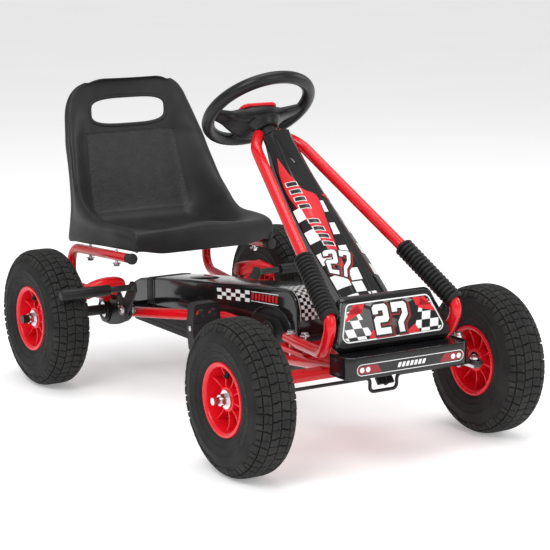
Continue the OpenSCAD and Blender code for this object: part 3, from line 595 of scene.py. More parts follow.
def build_tyre_mesh():
    parts = []
    n = 128
    prof = [(x, r) for (r, x) in CARC]
    full = [(-x, r) for (x, r) in reversed(prof[1:])] + prof
    full = full + [(12, 64), (-12, 64)]
    parts.append(revolve(full, (0, 0, 0), (1, 0, 0), n))
    rnd = random.Random(5)
    N = 27
    pitch = 2 * math.pi * 130.0 / N
    g = 1.5
    for k in range(N):
        u = k * pitch
        # centre pair: two stepped blocks with a sipe between their halves
        for side in (-1, 1):
            o = 0 if side < 0 else pitch / 2
            a = u + o
            s0, s1 = side * 1.1, side * 15.6
            b = [(a + g, s0), (a + pitch * 0.46, s0), (a + pitch * 0.46, s0 + side * 3.4), (a + pitch * 0.52, s0 + side * 4.6), (a + pitch * 0.46, s0 + side * 6), (a + pitch * 0.46, s1), (a + g - 2.0, s1), (a + g - 2.0, side * 8.4), (a + g, side * 6.0)]
            parts.append(lug(b, 4.6))
            b = [(a + pitch * 0.46 + 1.1, s0), (a + pitch - g, s0), (a + pitch - g, side * 6.0), (a + pitch - g - 2.0, side * 8.4), (a + pitch - g - 2.0, s1), (a + pitch * 0.46 + 1.1, s1), (a + pitch * 0.46 + 1.1, s0 + side * 6), (a + pitch * 0.52 + 1.1, s0 + side * 4.6), (a + pitch * 0.46 + 1.1, s0 + side * 3.4)]
            parts.append(lug(b, 4.6))
            # intermediate block
            a = u + o + pitch * 0.36
            s0, s1 = side * 17.8, side * 31.0
            b = [(a + g, s0), (a + pitch * 0.5 - 0.5, s0), (a + pitch * 0.5 - 0.5, side * 22.6), (a + pitch * 0.58, side * 24.8), (a + pitch * 0.5, side * 26), (a + pitch * 0.5, s1), (a + g + 1.8, s1), (a + g + 1.8, side * 24.6), (a + g, side * 22.6)]
            parts.append(lug(b, 4.2))
            b = [(a + pitch * 0.5 + 0.6, s0), (a + pitch - g, s0), (a + pitch - g, side * 22.6), (a + pitch - g + 1.8, side * 24.6), (a + pitch - g + 1.8, s1), (a + pitch * 0.5 + 1.1, s1), (a + pitch * 0.5 + 1.1, side * 26), (a + pitch * 0.58 + 1.1, side * 24.8), (a + pitch * 0.5 + 0.6, side * 22.6)]
            parts.append(lug(b, 4.2))
            # shoulder lugs: long and short in turn
            a = u + o + pitch * 0.8
            e = 47.5 if k % 2 else 43.0
            b = [(a + g, side * 33.2), (a + pitch * 0.62 - g, side * 33.2), (a + pitch * 0.62 - g, side * 39), (a + pitch * 0.58 - g, side * e), (a + g + 1.6, side * e), (a + g, side * 39)]
            parts.append(lug(b, 3.6))
            e = 42.0 if k % 2 else 46.0
            b = [(a + pitch * 0.62 + g, side * 33.2), (a + pitch - g, side * 33.2), (a + pitch - g, side * e), (a + pitch * 0.62 + g, side * e)]
            parts.append(lug(b, 3.6))
            # short raised dashes on the wall
            for q in range(4):
                t = (u + o + pitch * (0.1 + 0.25 * q)) / 130.0
                r = (88.5, 84.6, 97.0 - 2.0, 86.4)[q] + rnd.uniform(-0.7, 0.7)
                x = 39.9
                w, h = rnd.uniform(0.010, 0.018), rnd.uniform(0.35, 0.6)
                quad = []
                for (dt, dr) in ((-w, -h), (w, -h), (w, h), (-w, h)):
                    quad.append((t + dt, r + dr))
                top = [V(side * (x + 0.45), r2 * math.sin(t2), r2 * math.cos(t2)) for (t2, r2) in quad]
                low = [V(side * (x - 0.8), r2 * math.sin(t2), r2 * math.cos(t2)) for (t2, r2) in quad]
                parts.append((low + top, [(4, 5, 6, 7), (0, 1, 5, 4), (1, 2, 6, 5), (2, 3, 7, 6), (3, 0, 4, 7)]))
    verts, faces = join(*parts)
    me = bpy.data.meshes.new("tyre")
    me.from_pydata([p * 0.001 for p in verts], [], faces)
    me.validate()
    bm = bmesh.new()
    bm.from_mesh(me)
    bmesh.ops.recalc_face_normals(bm, faces=bm.faces)
    bm.to_mesh(me)
    bm.free()
    return me


def build_rim_mesh():
    """Moulded rim with its axis along X: rolled flange, dished well, ribs on both faces, round hub."""
    parts = []
    half = [(30.2, 62.0), (32.6, 61.9), (33.8, 61.2), (34.3, 60.0), (34.3, 58.8), (34.0, 57.2), (33.2, 55.4), (32.4, 54.2), (31.6, 53.4), (30.6, 52.9), (29.2, 52.6), (22, 51.8), (12, 50.6), (6.5, 49.8), (4.6, 48.6), (4.0, 46.8), (4.0, 26), (4.6, 23.6), (6.6, 22.2), (10, 21.6), (20, 20.6), (23.0, 20.2), (23.8, 19.4), (24.0, 18.4), (24.0, 10)]
    well = [(30.2, 62.0), (29.4, 60.6), (28.6, 58.4), (24, 57.6), (20, 55), (16, 52.8), (0, 52.4)]
    outer = [(-h, r) for (h, r) in well[:-1]] + [(h, r) for (h, r) in reversed(well)][0:]
    prof = [(h, r) for (h, r) in half] + [(-h, r) for (h, r) in reversed(half)] + [(-h, r) for (h, r) in well[1:-1]] + [(h, r) for (h, r) in reversed(well[1:])]
    parts.append(revolve(prof, (0, 0, 0), (1, 0, 0), 96))
    for side in (-1, 1):
        for i in range(9):
            a = math.radians(i * 40 + (20 if side > 0 else 0) + 20)
            er, et = V(0, math.sin(a), math.cos(a)), V(0, math.cos(a), -math.sin(a))
            # rib: top edge falls from hub towards the wall in a shallow curve
            prof = []
            K = 8
            for k in range(K + 1):
                t = k / K
                r = lerp(19.0, 52.6, t)
                h = lerp(21.6, 23.6, t) - 3.4 * math.sin(math.pi * t)
                prof.append((r, h))
            ring_v, ring_f = [], []
            for (r, h) in prof:
                for (w, z) in ((1.7, 3.0), (1.25, h - 0.5), (0.8, h), (-0.8, h), (-1.25, h - 0.5), (-1.7, 3.0)):
                    ring_v.append(er * r + et * w + V(side * z, 0, 0))
            for k in range(K):
                for j in range(5):
                    ring_f.append((k * 6 + j, k * 6 + j + 1, (k + 1) * 6 + j + 1, (k + 1) * 6 + j))
            ring_f.append(tuple(range(6)))
            ring_f.append(tuple(K * 6 + j for j in range(6)))
            parts.append((ring_v, ring_f))
    verts, faces = join(*parts)
    me = bpy.data.meshes.new("rim")
    me.from_pydata([p * 0.001 for p in verts], [], faces)
    me.validate()
    bm = bmesh.new()
    bm.from_mesh(me)
    bmesh.ops.recalc_face_normals(bm, faces=bm.faces)
    bm.to_mesh(me)
    bm.free()
    return me


TYRE_MESH = build_tyre_mesh()
RIM_MESH = build_rim_mesh()
TYRE_MESH.materials.append(TYRE)
RIM_MESH.materials.append(RIMRED)


def wheel(tag, front, side):
    x = side * (XF if front else XR)
    y = YF if front else YR
    body = ("front_wheel_" + tag) if front else "rear_axle"
    pre = "front" if front else "rear"
    at = W((x, y, AXZ))
    t = finish_piece(f"{pre}_tyre_{tag}_tread", TYRE_MESH if side < 0 else TYRE_MESH.copy(), TYRE, body, angle=38, replaces=[f"{pre}_tyre_{tag}"], at=at)
    r = finish_piece(f"{pre}_rim_{tag}_moulded", RIM_MESH if side < 0 else RIM_MESH.copy(), RIMRED, body, angle=32, replaces=[f"{pre}_rim_{tag}"], at=at)
    # nut on a wide washer, over the axle's threaded end
    o = V(x + side * 24.3, y, AXZ)
    d = V(side, 0, 0)
    v, f = hexnut(o, d, 10.6, 10.4, washer=(15.8, 2.4))
    piece(f"{pre}_nut_{tag}_outer", v, f, ZINC, body, angle=25, replaces=[f"front_axle_nut_{tag}"] if front else [])
    # valve stem with its cap
    va = V(x + side * 9, y, AXZ + 62)
    vd = unit(V(side * 0.53, 0, -0.848))
    prof = [(0, 0), (0, 5.2), (4, 5.0), (7, 4.0), (9, 3.6), (21, 3.5), (21.2, 4.3), (22, 4.5), (30.4, 4.4), (31.6, 3.8), (32, 2.6), (32, 0)]
    v, f = revolve(prof, va, vd, 24)
    piece(f"{pre}_valve_{tag}", v, f, RUBBER, body, angle=40)


for tag, side in (("right", -1), ("left", 1)):
    wheel(tag, True, side)
    wheel(tag, False, side)
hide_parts("rear_inner_tubes")
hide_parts("front_inner_tube_right")
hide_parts("front_inner_tube_left")
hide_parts("rear_axle_nuts")


# ------------------------------------------------------------------ frame tubes
def mirrored(pts, side):
    """pts are drawn for the left, +X."""
    return [V(p[0] * side, p[1], p[2]) for p in pts]


RAIL = [(118, YR - 20, 129), (60, 15, 170), (58, -74, 170)]
SUPPORT = [(20, -38, 505), (47, -72, 488), (98, -304, 340), (127, -436, 254), (123, -408, 196), (90, -284, 184), (66, -208, 177)]
SEATTUBE = [(152, 203, 256), (153, 452, 240), (154, 456, 166), (141, 326, 160)]
FRONTR = [(60, -160, 134), (67, -214, 141), (88, -400, 168), (90, -448, 172)]
for tag, s in (("right", -1), ("left", 1)):
    v, f = sweep(bent(mirrored(RAIL, s), 60, 5), 10, 28)
    piece(f"side_rail_{tag}_tube", v, f, RED, "chassis", angle=50, replaces=[f"side_rail_{tag}"])
    path = bent(mirrored(SUPPORT, s), [70, 60, 27, 48, 40], 6)
    rs = [10] * len(path)
    v, f = sweep(path, rs, 28)
    piece(f"steering_support_{tag}_tube", v, f, RED, "chassis", angle=50, replaces=[f"steering_support_{tag}"])
    v, f = sweep(bent(mirrored(SEATTUBE, s), 34, 6), 9, 28)
    piece(f"seat_support_{tag}_tube", v, f, RED, "chassis", angle=50, replaces=[f"seat_support_{tag}"])
    # plastic plug over the open front end of the seat tube
    p = V(152 * s, 203, 256)
    d = unit(V(0, 249, -16))
    prof = [(-9, 0), (-9, 7.4), (-8.4, 9.2), (-6.5, 10.4), (-1, 10.5), (0, 10.1), (0.4, 9.2), (12, 9.2), (12, 0)]
    v, f = revolve(prof, p, d, 32)
    piece(f"seat_tube_cap_{tag}", v, f, MATT, "chassis", angle=40, replaces=["tube_end_caps"])
    v, f = sweep(bent(mirrored(FRONTR, s), 60, 5), 10.5, 28)
    piece(f"front_tube_{tag}", v, f, RED, "chassis", angle=50)


# Welded platform, cross straps and column foot
def boxm(x0, x1, y0, y1, z0, z1):
    return prism([(x0, y0), (x1, y0), (x1, y1), (x0, y1)], z0, z1)


plat = round_poly([(-84, -336), (84, -336), (84, -201), (-84, -201)], 10, 4)
v, f = prism(plat, 158, 161.5)
piece("front_platform", v, f, RED, "chassis", bevel=0.8, replaces=["front_frame"])
for tag, s in (("right", -1), ("left", 1)):
    o = round_poly([(73 * s - 12, -292), (73 * s + 12, -292), (73 * s + 12, -200), (73 * s - 12, -200)], 9, 4)
    v, f = prism(o, 161.6, 166.4)
    piece(f"front_strap_{tag}", v, f, RED, "chassis", bevel=1.0)
v, f = prism(round_poly([(-8, -318), (8, -318), (8, -306), (-8, -306)], 2, 3), 159, 185)
piece("column_post", v, f, RED, "chassis", bevel=1.2)

WC = V(0, -5.3, 547.4)
TILT = math.radians(40.6)
CN = V(0, math.sin(TILT), math.cos(TILT))
CU = V(0, -math.cos(TILT), math.sin(TILT))


def col(s):
    return WC - CN * s


v, f = revolve([(0, 11.05), (0, 13.4), (0.6, 14), (28.4, 14), (29, 13.4), (29, 11.05)], col(478), CN, 40)
piece("column_tube_low", v, f, RED, "chassis", angle=40)

# Front axle beam: a pressed channel with a boss at each end
beam = []
K = 182
sect = [(-12, 142), (-12, 156), (-10, 158), (10, 158), (12, 156), (12, 142), (9.6, 142), (9.6, 154.6), (8.6, 155.6), (-8.6, 155.6), (-9.6, 154.6), (-9.6, 142)]
v = [V(-K, YF + y, z) for (y, z) in sect] + [V(K, YF + y, z) for (y, z) in sect]
n = len(sect)
f = [tuple(range(n))[::-1], tuple(range(n, 2 * n))] + [(i, (i + 1) % n, n + (i + 1) % n, n + i) for i in range(n)]
beam.append((v, f))
for s in (-1, 1):
    beam.append(revolve([(0, 7.05), (0, 12.2), (0.8, 13), (33.2, 13), (34, 12.2), (34, 7.05)], (s * 190, YF, 142), (0, 0, 1), 40))
v, f = join(*beam)
piece("front_beam", v, f, RED, "chassis", angle=30, replaces=["front_axle_beam"])

# ------------------------------------------------------------------ bellows
for tag, s in (("right", -1), ("left", 1)):
    a, b = V(100.7 * s, -310.1, 336.4), V(124.6 * s, -428, 259.4)
    L = (b - a).length
    prof = [(0, 10.7), (0, 12.6), (0.5, 13.6)]
    for i in range(17):
        c = (i + 0.5) * L / 17
        w = L / 17
        prof += [(c - w * 0.46, 12.3), (c - w * 0.34, 13.4), (c - w * 0.22, 15.8), (c - w * 0.1, 16.8), (c + w * 0.1, 16.8), (c + w * 0.22, 15.8), (c + w * 0.34, 13.4), (c + w * 0.46, 12.3)]
    prof += [(L - 0.5, 13.6), (L, 12.6), (L, 10.7)]
    v, f = revolve(prof, a, b - a, 48)
    piece(f"bellows_{tag}_sleeve", v, f, RUBBER, "chassis", angle=50, replaces=[f"bellows_{tag}"])


# ------------------------------------------------------------------ hood
HOOD = [[26, -70, 510, 11, 5], [29, -86, 490, 13, 8], [35, -121, 450, 16, 14], [39, -152, 420, 18, 18],
        [43, -187, 390, 18, 20], [46, -225, 360, 17, 22], [48, -264, 330, 15, 22], [48, -305, 300, 13, 22],
        [48, -345, 268, 11, 20], [47, -376, 240, 9, 16]]
HF = unit(V(0, -0.68, 0.73))
HS = [0.0]
for i in range(len(HOOD) - 1):
    HS.append(HS[-1] + math.dist(HOOD[i][1:3], HOOD[i + 1][1:3]))


def catmull(rows, t):
    """rows of equal-length numbers, t in row units."""
    n = len(rows)
    i = max(0, min(n - 2, int(math.floor(t))))
    q = t - i
    p0, p1, p2, p3 = rows[max(0, i - 1)], rows[i], rows[i + 1], rows[min(n - 1, i + 2)]
    return [0.5 * (2 * b + (c - a) * q + (2 * a - 5 * b + 4 * c - d) * q * q + (3 * b - a - 3 * c + d) * q ** 3) for a, b, c, d in zip(p0, p1, p2, p3)]


def hood_row(s):
    """Row of the hood at s mm down from its top."""
    s = max(0.0, min(HS[-1] - 1e-6, s))
    i = max(k for k in range(len(HS) - 1) if HS[k] <= s)
    return catmull(HOOD, i + (s - HS[i]) / (HS[i + 1] - HS[i]))


def hood_z(u):
    """The hood's section, from 0 at its edge to 1 on its flat crown: a crease on each side."""
    a = abs(u)
    if a < 0.5:
        return 1.0 - 0.05 * (a / 0.5) ** 2
    return 0.95 * (1 - ((a - 0.5) / 0.5) ** 1.35)


def hood_pt(x, s):
    hw, y, z, crown, skirt = hood_row(s)
    u = max(-1, min(1, x / hw))
    return V(x, y, z) + HF * crown * hood_z(u)


def hood_surf(x, s):
    p = hood_pt(x, s)
    e = 0.5
    a = hood_pt(x + e, s) - hood_pt(x - e, s)
    b = hood_pt(x, min(HS[-1] - 0.01, s + e)) - hood_pt(x, max(0.01, s - e))
    n = unit(b.cross(a))
    if n.dot(HF) < 0:
        n = -n
    return p, n


us = [-1, -0.97, -0.9, -0.82, -0.74, -0.66, -0.58, -0.52, -0.5, -0.46, -0.36, -0.24, -0.12, 0]
us = us + [-u for u in reversed(us[:-1])]
rows = []
NR = 60
for i in range(NR + 1):
    s = HS[-1] * i / NR
    hw, y, z, crown, skirt = hood_row(s)
    base = V(0, y, z)
    row = [V(-hw - 1, y, z) - HF * skirt, V(-hw - 1, y, z) - HF * skirt * 0.5, V(-hw - 0.9, y, z) - HF * 1.2]
    row += [V(u * hw, y, z) + HF * crown * hood_z(u) for u in us]
    row += [V(hw + 0.9, y, z) - HF * 1.2, V(hw + 1, y, z) - HF * skirt * 0.5, V(hw + 1, y, z) - HF * skirt]
    rows.append(row)
nc = len(rows[0])
verts = [p for r in rows for p in r]
faces = grid_faces(len(rows), nc)
o = piece("hood_shell", verts, faces, GLOSS, "chassis", angle=24, replaces=["fairing"])
md = o.modifiers.new("wall", "SOLIDIFY")
md.thickness = 0.003
md.offset = -1
md.use_rim = True
md = o.modifiers.new("edge", "BEVEL")
md.width = 0.0007
md.segments = 2
md.limit_method = "ANGLE"
md.angle_limit = math.radians(50)


# ------------------------------------------------------------------ number board
BT = math.radians(90 - 21.3)
BC, BS = math.cos(BT), math.sin(BT)


def board_m():
    return Matrix(((1, 0, 0, 0), (0, BC, -BS, -436), (0, BS, BC, 202), (0, 0, 0, 1)))


BM = board_m()
BN = V(0, -BS, BC)


def board_surf(x, y):
    return BM @ V(x, y, 0), BN


def ring_loft(loops, mat4, close_first=False, close_last=True):
    """Loops of equal length of (x, y, z) in mat4's frame, joined in turn."""
    v = [mat4 @ Vector(p) for lp in loops for p in lp]
    n = len(loops[0])
    f = []
    for i in range(len(loops) - 1):
        for k in range(n):
            f.append((i * n + k, i * n + (k + 1) % n, (i + 1) * n + (k + 1) % n, (i + 1) * n + k))
    if close_first:
        f.append(tuple(range(n))[::-1])
    if close_last:
        f.append(tuple((len(loops) - 1) * n + k for k in range(n)))
    return v, f


def trap(g, r, n=6):
    """Board outline pulled in by g."""
    w0, w1, h = 124, 91, 90
    k = (w0 - w1) / h
    x = lambda y: w0 - k * y - g * math.hypot(1, k)
    return round_poly([(-x(g), g), (x(g), g), (x(h - g), h - g), (-x(h - g), h - g)], max(1.5, r - g), n)


loops = []
for (g, z) in ((3.5, -12), (1.0, -12), (0.2, -11.6), (0, -10.8), (0, -8.0), (0.4, -6.6), (5.0, -1.6), (6.0, -0.6), (7.4, 0)):
    loops.append([(x, y, z) for (x, y) in trap(g, 16)])
v, f = ring_loft(loops, BM, False, True)
inner = []
for (g, z) in ((3.5, -12), (4.2, -9), (9.4, -4), (11, -3)):
    inner.append([(x, y, z) for (x, y) in trap(g, 16)])
v2, f2 = ring_loft(inner, BM, False, True)
v, f = join((v, f), (v2, f2))
piece("number_board_panel", v, f, GLOSS, "chassis", angle=28, replaces=["number_board"])


def bars(x0, x1, y0, y1, k, gap, slant):
    w = (x1 - x0 - gap * (k - 1)) / k
    out = []
    for i in range(k):
        a = x0 + i * (w + gap)
        out.append([(a, y0), (a + w, y0), (a + w + slant, y1), (a + slant, y1)])
    return out


def checker(x0, y0, sx, sy, nx, ny, skew=0.0, clip=None, odd=0):
    out = []
    for i in range(nx):
        for j in range(ny):
            if (i + j + odd) % 2 == 0:
                p = [(x0 + i * sx, y0 + j * sy), (x0 + (i + 1) * sx, y0 + j * sy), (x0 + (i + 1) * sx, y0 + (j + 1) * sy), (x0 + i * sx, y0 + (j + 1) * sy)]
                p = [(q[0] + skew * (q[1] - y0), q[1]) for q in p]
                if clip:
                    p = clip_poly(p, clip)
                if p and len(p) >= 3:
                    out.append(p)
    return out


def clip_poly(p, q):
    """p clipped to the convex outline q (counter-clockwise)."""
    for i in range(len(q)):
        a, b = q[i], q[(i + 1) % len(q)]
        def inside(c):
            return (b[0] - a[0]) * (c[1] - a[1]) - (b[1] - a[1]) * (c[0] - a[0]) >= -1e-9
        out = []
        for k in range(len(p)):
            c, d = p[k - 1], p[k]
            if inside(c) != inside(d):
                den = (b[0] - a[0]) * (d[1] - c[1]) - (b[1] - a[1]) * (d[0] - c[0])
                t = ((b[1] - a[1]) * (c[0] - a[0]) - (b[0] - a[0]) * (c[1] - a[1])) / den if abs(den) > 1e-12 else 0
                out.append((c[0] + (d[0] - c[0]) * t, c[1] + (d[1] - c[1]) * t))
            if inside(d):
                out.append(d)
        p = out
        if len(p) < 3:
            return None
    return p


field = trap(16.2, 25)
line = [trap(13.2, 24), trap(15.4, 24)]
decal("board_line", [line], board_surf, WHITE, "chassis", 0.30, 40)
# checkers fan into the two lower corners
left_zone = [p for p in (clip_poly([(-124, 0), (-46, 0), (-60, 62), (-124, 62)], field),) if p]
chk = []
for sgn in (-1, 1):
    zone = [(sgn * x, y) for (x, y) in ((-124, 4), (-34, 4), (-62, 64), (-124, 64))]
    if sgn > 0:
        pass
    else:
        zone = zone
    zz = zone if sum(zone[i][0] * zone[(i + 1) % 4][1] - zone[(i + 1) % 4][0] * zone[i][1] for i in range(4)) > 0 else zone[::-1]
    z2 = clip_poly(zz, field)
    if z2:
        chk += checker(18 if sgn < 0 else -120, 8, 17, 13.5, 7, 5, 0.28 * -sgn, z2, 0 if sgn < 0 else 1)
decal("board_checkers", chk, board_surf, WHITE, "chassis", 0.32, 40)
two, seven = digit_27(30, 50, 10.5)
num = [shift(two, -34, 20, 1, 0), shift(seven, 4, 20, 1, 0)]
shards_r = [clip_poly(p, field) for p in ([(-40, 84), (-84, 60), (-56, 58)], [(-66, 78), (-92, 46), (-52, 62)], [(46, 84), (86, 58), (54, 60)], [(70, 78), (92, 46), (56, 56)], [(-50, 17), (-10, 10), (-40, 30)], [(52, 17), (12, 12), (44, 30)])]
shards_g = [clip_poly(p, field) for p in ([(-20, 80), (-46, 72), (-30, 66)], [(24, 80), (50, 70), (34, 66)], [(-60, 70), (-84, 70), (-62, 62)], [(64, 70), (84, 68), (62, 60)], [(0, 80), (-12, 72), (10, 72)])]
decal("board_shards_grey", [p[::1] for p in shards_g if p], board_surf, DGREY, "chassis", 0.30, 40)
decal("board_shards_red", [p for p in shards_r if p], board_surf, DRED, "chassis", 0.36, 40)
decal("board_number_shadow", [shift(grow(p, 4.2), 2.4, -1.6) for p in num], board_surf, DDARK, "chassis", 0.42, 40)
decal("board_number_edge", [grow(p, 3.0) for p in num], board_surf, DBLACK, "chassis", 0.50, 40)
decal("board_number", num, board_surf, WHITE, "chassis", 0.58, 40)

# ------------------------------------------------------------------ bumper
PLAN = [(-123, -424), (-123, -466), (-108, -477), (108, -477), (123, -466), (123, -424)]


def plan(g, r):
    k = [(-123 + g, -424), (-123 + g, -466 + g * 0.6), (-108 + g * 0.4, -477 + g), (108 - g * 0.4, -477 + g), (123 - g, -466 + g * 0.6), (123 - g, -424)]
    return round_poly(k, [0, r, r, r, r, 0], 5)


prof = [(2.6, 168.4), (2.6, 165.8), (3.0, 165.2), (3.6, 165.0), (2.0, 165.0), (0.8, 165.3), (0, 166.2), (0, 199.2), (0.4, 200.4), (1.4, 201), (2.8, 201), (30, 203.0)]
loops = [[(x, y, z) for (x, y) in plan(g, 12)] for (g, z) in ((3, 168), (3, 165.6), (2.2, 165.0), (1.0, 165.0), (0.2, 165.5), (0, 166.4), (0, 199.0), (0.3, 200.2), (1.2, 200.9), (2.4, 201.0), (3.4, 201.0), (3.6, 198))]
n = len(loops[0])
v = [V(*p) for lp in loops for p in lp]
f = []
for i in range(len(loops)):
    j = (i + 1) % len(loops)
    for k in range(n - 1):
        f.append((i * n + k, i * n + k + 1, j * n + k + 1, j * n + k))
f.append(tuple(i * n for i in range(len(loops))))
f.append(tuple(i * n + n - 1 for i in range(len(loops)))[::-1])
# top shelf behind the front lip
shelf = prism([(x, y) for (x, y) in plan(3.0, 10)], 196.4, 198.6)
v, f = join((v, f), shelf)
piece("front_bumper_bar", v, f, GLOSS, "chassis", angle=28, replaces=["front_bumper"])


def bumper_surf(x, z):
    """The bumper's front face, wrapped round its corners."""
    y, nrm = -477.0, V(0, -1, 0)
    a = abs(x)
    if a > 106:
        t = min(1, (a - 106) / 17)
        y = -477 + 11 * t
        nrm = unit(V(math.copysign(0.55, x) * t, -1, 0))
    return V(x, y, z), nrm


def capsule(x0, x1, z0, z1, n=8, g=0.0):
    x0, x1, z0, z1 = x0 + g, x1 - g, z0 + g, z1 - g
    return round_poly([(x0, z0), (x1, z0), (x1, z1), (x0, z1)], (z1 - z0) / 2 - 0.05, n)


strip = capsule(-106, 106, 171, 190)
decal("bumper_line", [[strip, capsule(-106, 106, 171, 190, 8, 1.1)]], bumper_surf, WHITE, "chassis", 0.30, 6)
decal("bumper_field", [capsule(-106, 106, 171, 190, 8, 1.1)], bumper_surf, DBLACK, "chassis", 0.26, 6)
circ = lambda cx, cz, r, n=24: [(cx + r * math.cos(2 * math.pi * k / n), cz + r * math.sin(2 * math.pi * k / n)) for k in range(n)]
lights, wedges = [], []
for s in (-1, 1):
    lights += [circ(s * 96, 180.5, 4.3), circ(s * 84.5, 180.5, 4.3)]
    wedges.append([(s * 78, 173.5), (s * 103, 174.6), (s * 104.4, 180.5), (s * 103, 186.4), (s * 78, 187.5), (s * 66, 186.6), (s * 58, 174.0)])
decal("bumper_wedges", wedges, bumper_surf, DDARK, "chassis", 0.34, 6)
decal("bumper_lights", lights, bumper_surf, WHITE, "chassis", 0.42, 6)
decal("bumper_bars", bars(-27, 27, 176.6, 184.4, 7, 2.6, 3.0), bumper_surf, WHITE, "chassis", 0.36, 6)


# ------------------------------------------------------------------ hood decals
def HP(u, s):
    """u is a share of the crown's half width at s."""
    hw = hood_row(s)[0]
    return (u * hw, s)


total = HS[-1]
# spear down the crown
def strip_poly(ul, ur, s0, s1, n=10):
    a = [HP(ul if not callable(ul) else ul(k / n), lerp(s0, s1, k / n)) for k in range(n + 1)]
    b = [HP(ur if not callable(ur) else ur(k / n), lerp(s0, s1, k / n)) for k in range(n + 1)]
    return a + b[::-1]


def hx(u, s):
    return (u * hood_row(s)[0], s)


def xs(pairs):
    return [hx(u, s) for (u, s) in pairs]


def dense(poly, step=14.0):
    out = []
    for i in range(len(poly)):
        a, b = poly[i], poly[(i + 1) % len(poly)]
        n = max(1, int(math.dist(a, b) / step))
        out += [(lerp(a[0], b[0], k / n), lerp(a[1], b[1], k / n)) for k in range(n)]
    return out


spear = [(-0.80, 55), (-0.62, 92), (-0.40, 130), (-0.22, 138), (0.02, 143), (0.14, 149), (0.16, 158), (0.12, 170), (-0.02, 205), (-0.14, 240), (-0.25, 270), (-0.36, 306), (-0.45, 345),
         (-0.50, 345), (-0.52, 300), (-0.60, 262), (-0.70, 220), (-0.80, 180), (-0.92, 140), (-0.95, 117), (-0.92, 84)]
decal("hood_spear", [xs(spear)], hood_surf, DRED, "chassis", 0.35, 5)
sq = []
for (s0, s1) in ((168, 195), (219, 246), (270, 296), (322, 350)):
    e = lambda s: -0.985
    i = lambda s: lerp(-0.74, -0.50, smooth((s - 168) / 180))
    sq.append(xs([(e(s0), s0), (i(s0), s0), (i(s1), s1), (e(s1), s1)]))
for (s0, s1) in ((163, 189), (214, 240), (265, 290), (316, 341)):
    e = lambda s: lerp(0.13, -0.40, (s - 165) / 175) + 0.02
    i = lambda s: lerp(0.30, 0.06, (s - 165) / 175)
    sq.append(xs([(e(s0), s0), (i(s0), s0), (i(s1), s1), (e(s1), s1)]))
for (s0, s1) in ((163, 187), (211, 235), (259, 283), (307, 331)):
    sq.append(xs([(0.70, s0), (0.97, s0), (0.97, s1), (0.70, s1)]))
for (s0, s1, u0, u1) in ((344, 366, -0.44, -0.02), (368, 388, -0.80, -0.42), (368, 388, 0.0, 0.34)):
    sq.append(xs([(u0, s0), (u1, s0), (u1, s1), (u0, s1)]))
decal("hood_squares", sq, hood_surf, WHITE, "chassis", 0.70, 5)
far = [(0.40, 150), (0.98, 140), (0.98, 160), (0.62, 158)]
decal("hood_far_flash", [xs(far)], hood_surf, DRED, "chassis", 0.45, 5)
# slanted bars run down beside the spear
hb_w, hb_b = [], []
for k in range(9):
    s0 = 110 + k * 17.5
    u0 = lerp(-0.84, -0.62, k / 8)
    q = [(u0, s0), (u0 + 0.34, s0 + 6), (u0 + 0.34, s0 + 14), (u0, s0 + 8)]
    if k == 4:
        continue
    hb_b.append(xs(q))
    hb_w.append(grow(xs(q), 1.3))
decal("hood_bars_edge", hb_w, hood_surf, WHITE, "chassis", 0.75, 5)
decal("hood_bars", hb_b, hood_surf, DBLACK, "chassis", 1.05, 5)


def bil(poly, bl, br, tl, tr):
    out = []
    for (a, b) in poly:
        x = (1 - a) * (1 - b) * bl[0] + a * (1 - b) * br[0] + (1 - a) * b * tl[0] + a * b * tr[0]
        y = (1 - a) * (1 - b) * bl[1] + a * (1 - b) * br[1] + (1 - a) * b * tl[1] + a * b * tr[1]
        out.append((x, y))
    return out


h2, h7 = digit_27(27, 56, 9)
hn = [bil([(p[0] / 60, p[1] / 56) for p in h2], (-44, 314), (-20, 338), (-38, 268), (8, 282)),
      bil([((p[0] + 33) / 60, p[1] / 56) for p in h7], (-44, 314), (-20, 338), (-38, 268), (8, 282))]
decal("hood_number_shadow", [shift(grow(p, 3.0), 1.6, 1.6) for p in hn], hood_surf, DDARK, "chassis", 0.95, 5)
decal("hood_number_edge", [grow(p, 2.2) for p in hn], hood_surf, DBLACK, "chassis", 1.25, 5)
decal("hood_number", hn, hood_surf, WHITE, "chassis", 1.55, 5)

# raised wedge at the hood's top and the long crease below it
wv, wf = [], []
K = 10
rows = []
for k in range(K + 1):
    t = k / K
    s = lerp(4, 74, t)
    w = lerp(0.62, 0.03, t)
    hw = hood_row(s)[0]
    hgt = 3.0 * (1 - 0.25 * t)
    row = []
    for (u, h) in ((-w - 0.06, -0.4), (-w, hgt * 0.7), (-w + 0.04 * (1 - t), hgt), (0, hgt + 0.5), (w - 0.04 * (1 - t), hgt), (w, hgt * 0.7), (w + 0.06, -0.4)):
        p, nrm = hood_surf(u * hw, s)
        row.append(p + nrm * h)
    rows.append(row)
wv = [p for r in rows for p in r]
wf = grid_faces(K + 1, 7) + [tuple(range(7))[::-1], tuple(K * 7 + j for j in range(7))]
piece("hood_wedge", wv, wf, GLOSS, "chassis", angle=22)
rows = []
for k in range(21):
    t = k / 20
    s = lerp(160, 395, t)
    u = lerp(0.40, 0.08, t)
    hw = hood_row(s)[0]
    row = []
    for (dx, h) in ((-1.9, -0.3), (-1.1, 1.0), (-0.4, 1.5), (0.4, 1.5), (1.1, 1.0), (1.9, -0.3)):
        p, nrm = hood_surf(u * hw + dx, s)
        row.append(p + nrm * h)
    rows.append(row)
piece("hood_crease", [p for r in rows for p in r], grid_faces(21, 6) + [tuple(range(6))[::-1], tuple(120 + j for j in range(6))], GLOSS, "chassis", angle=60)


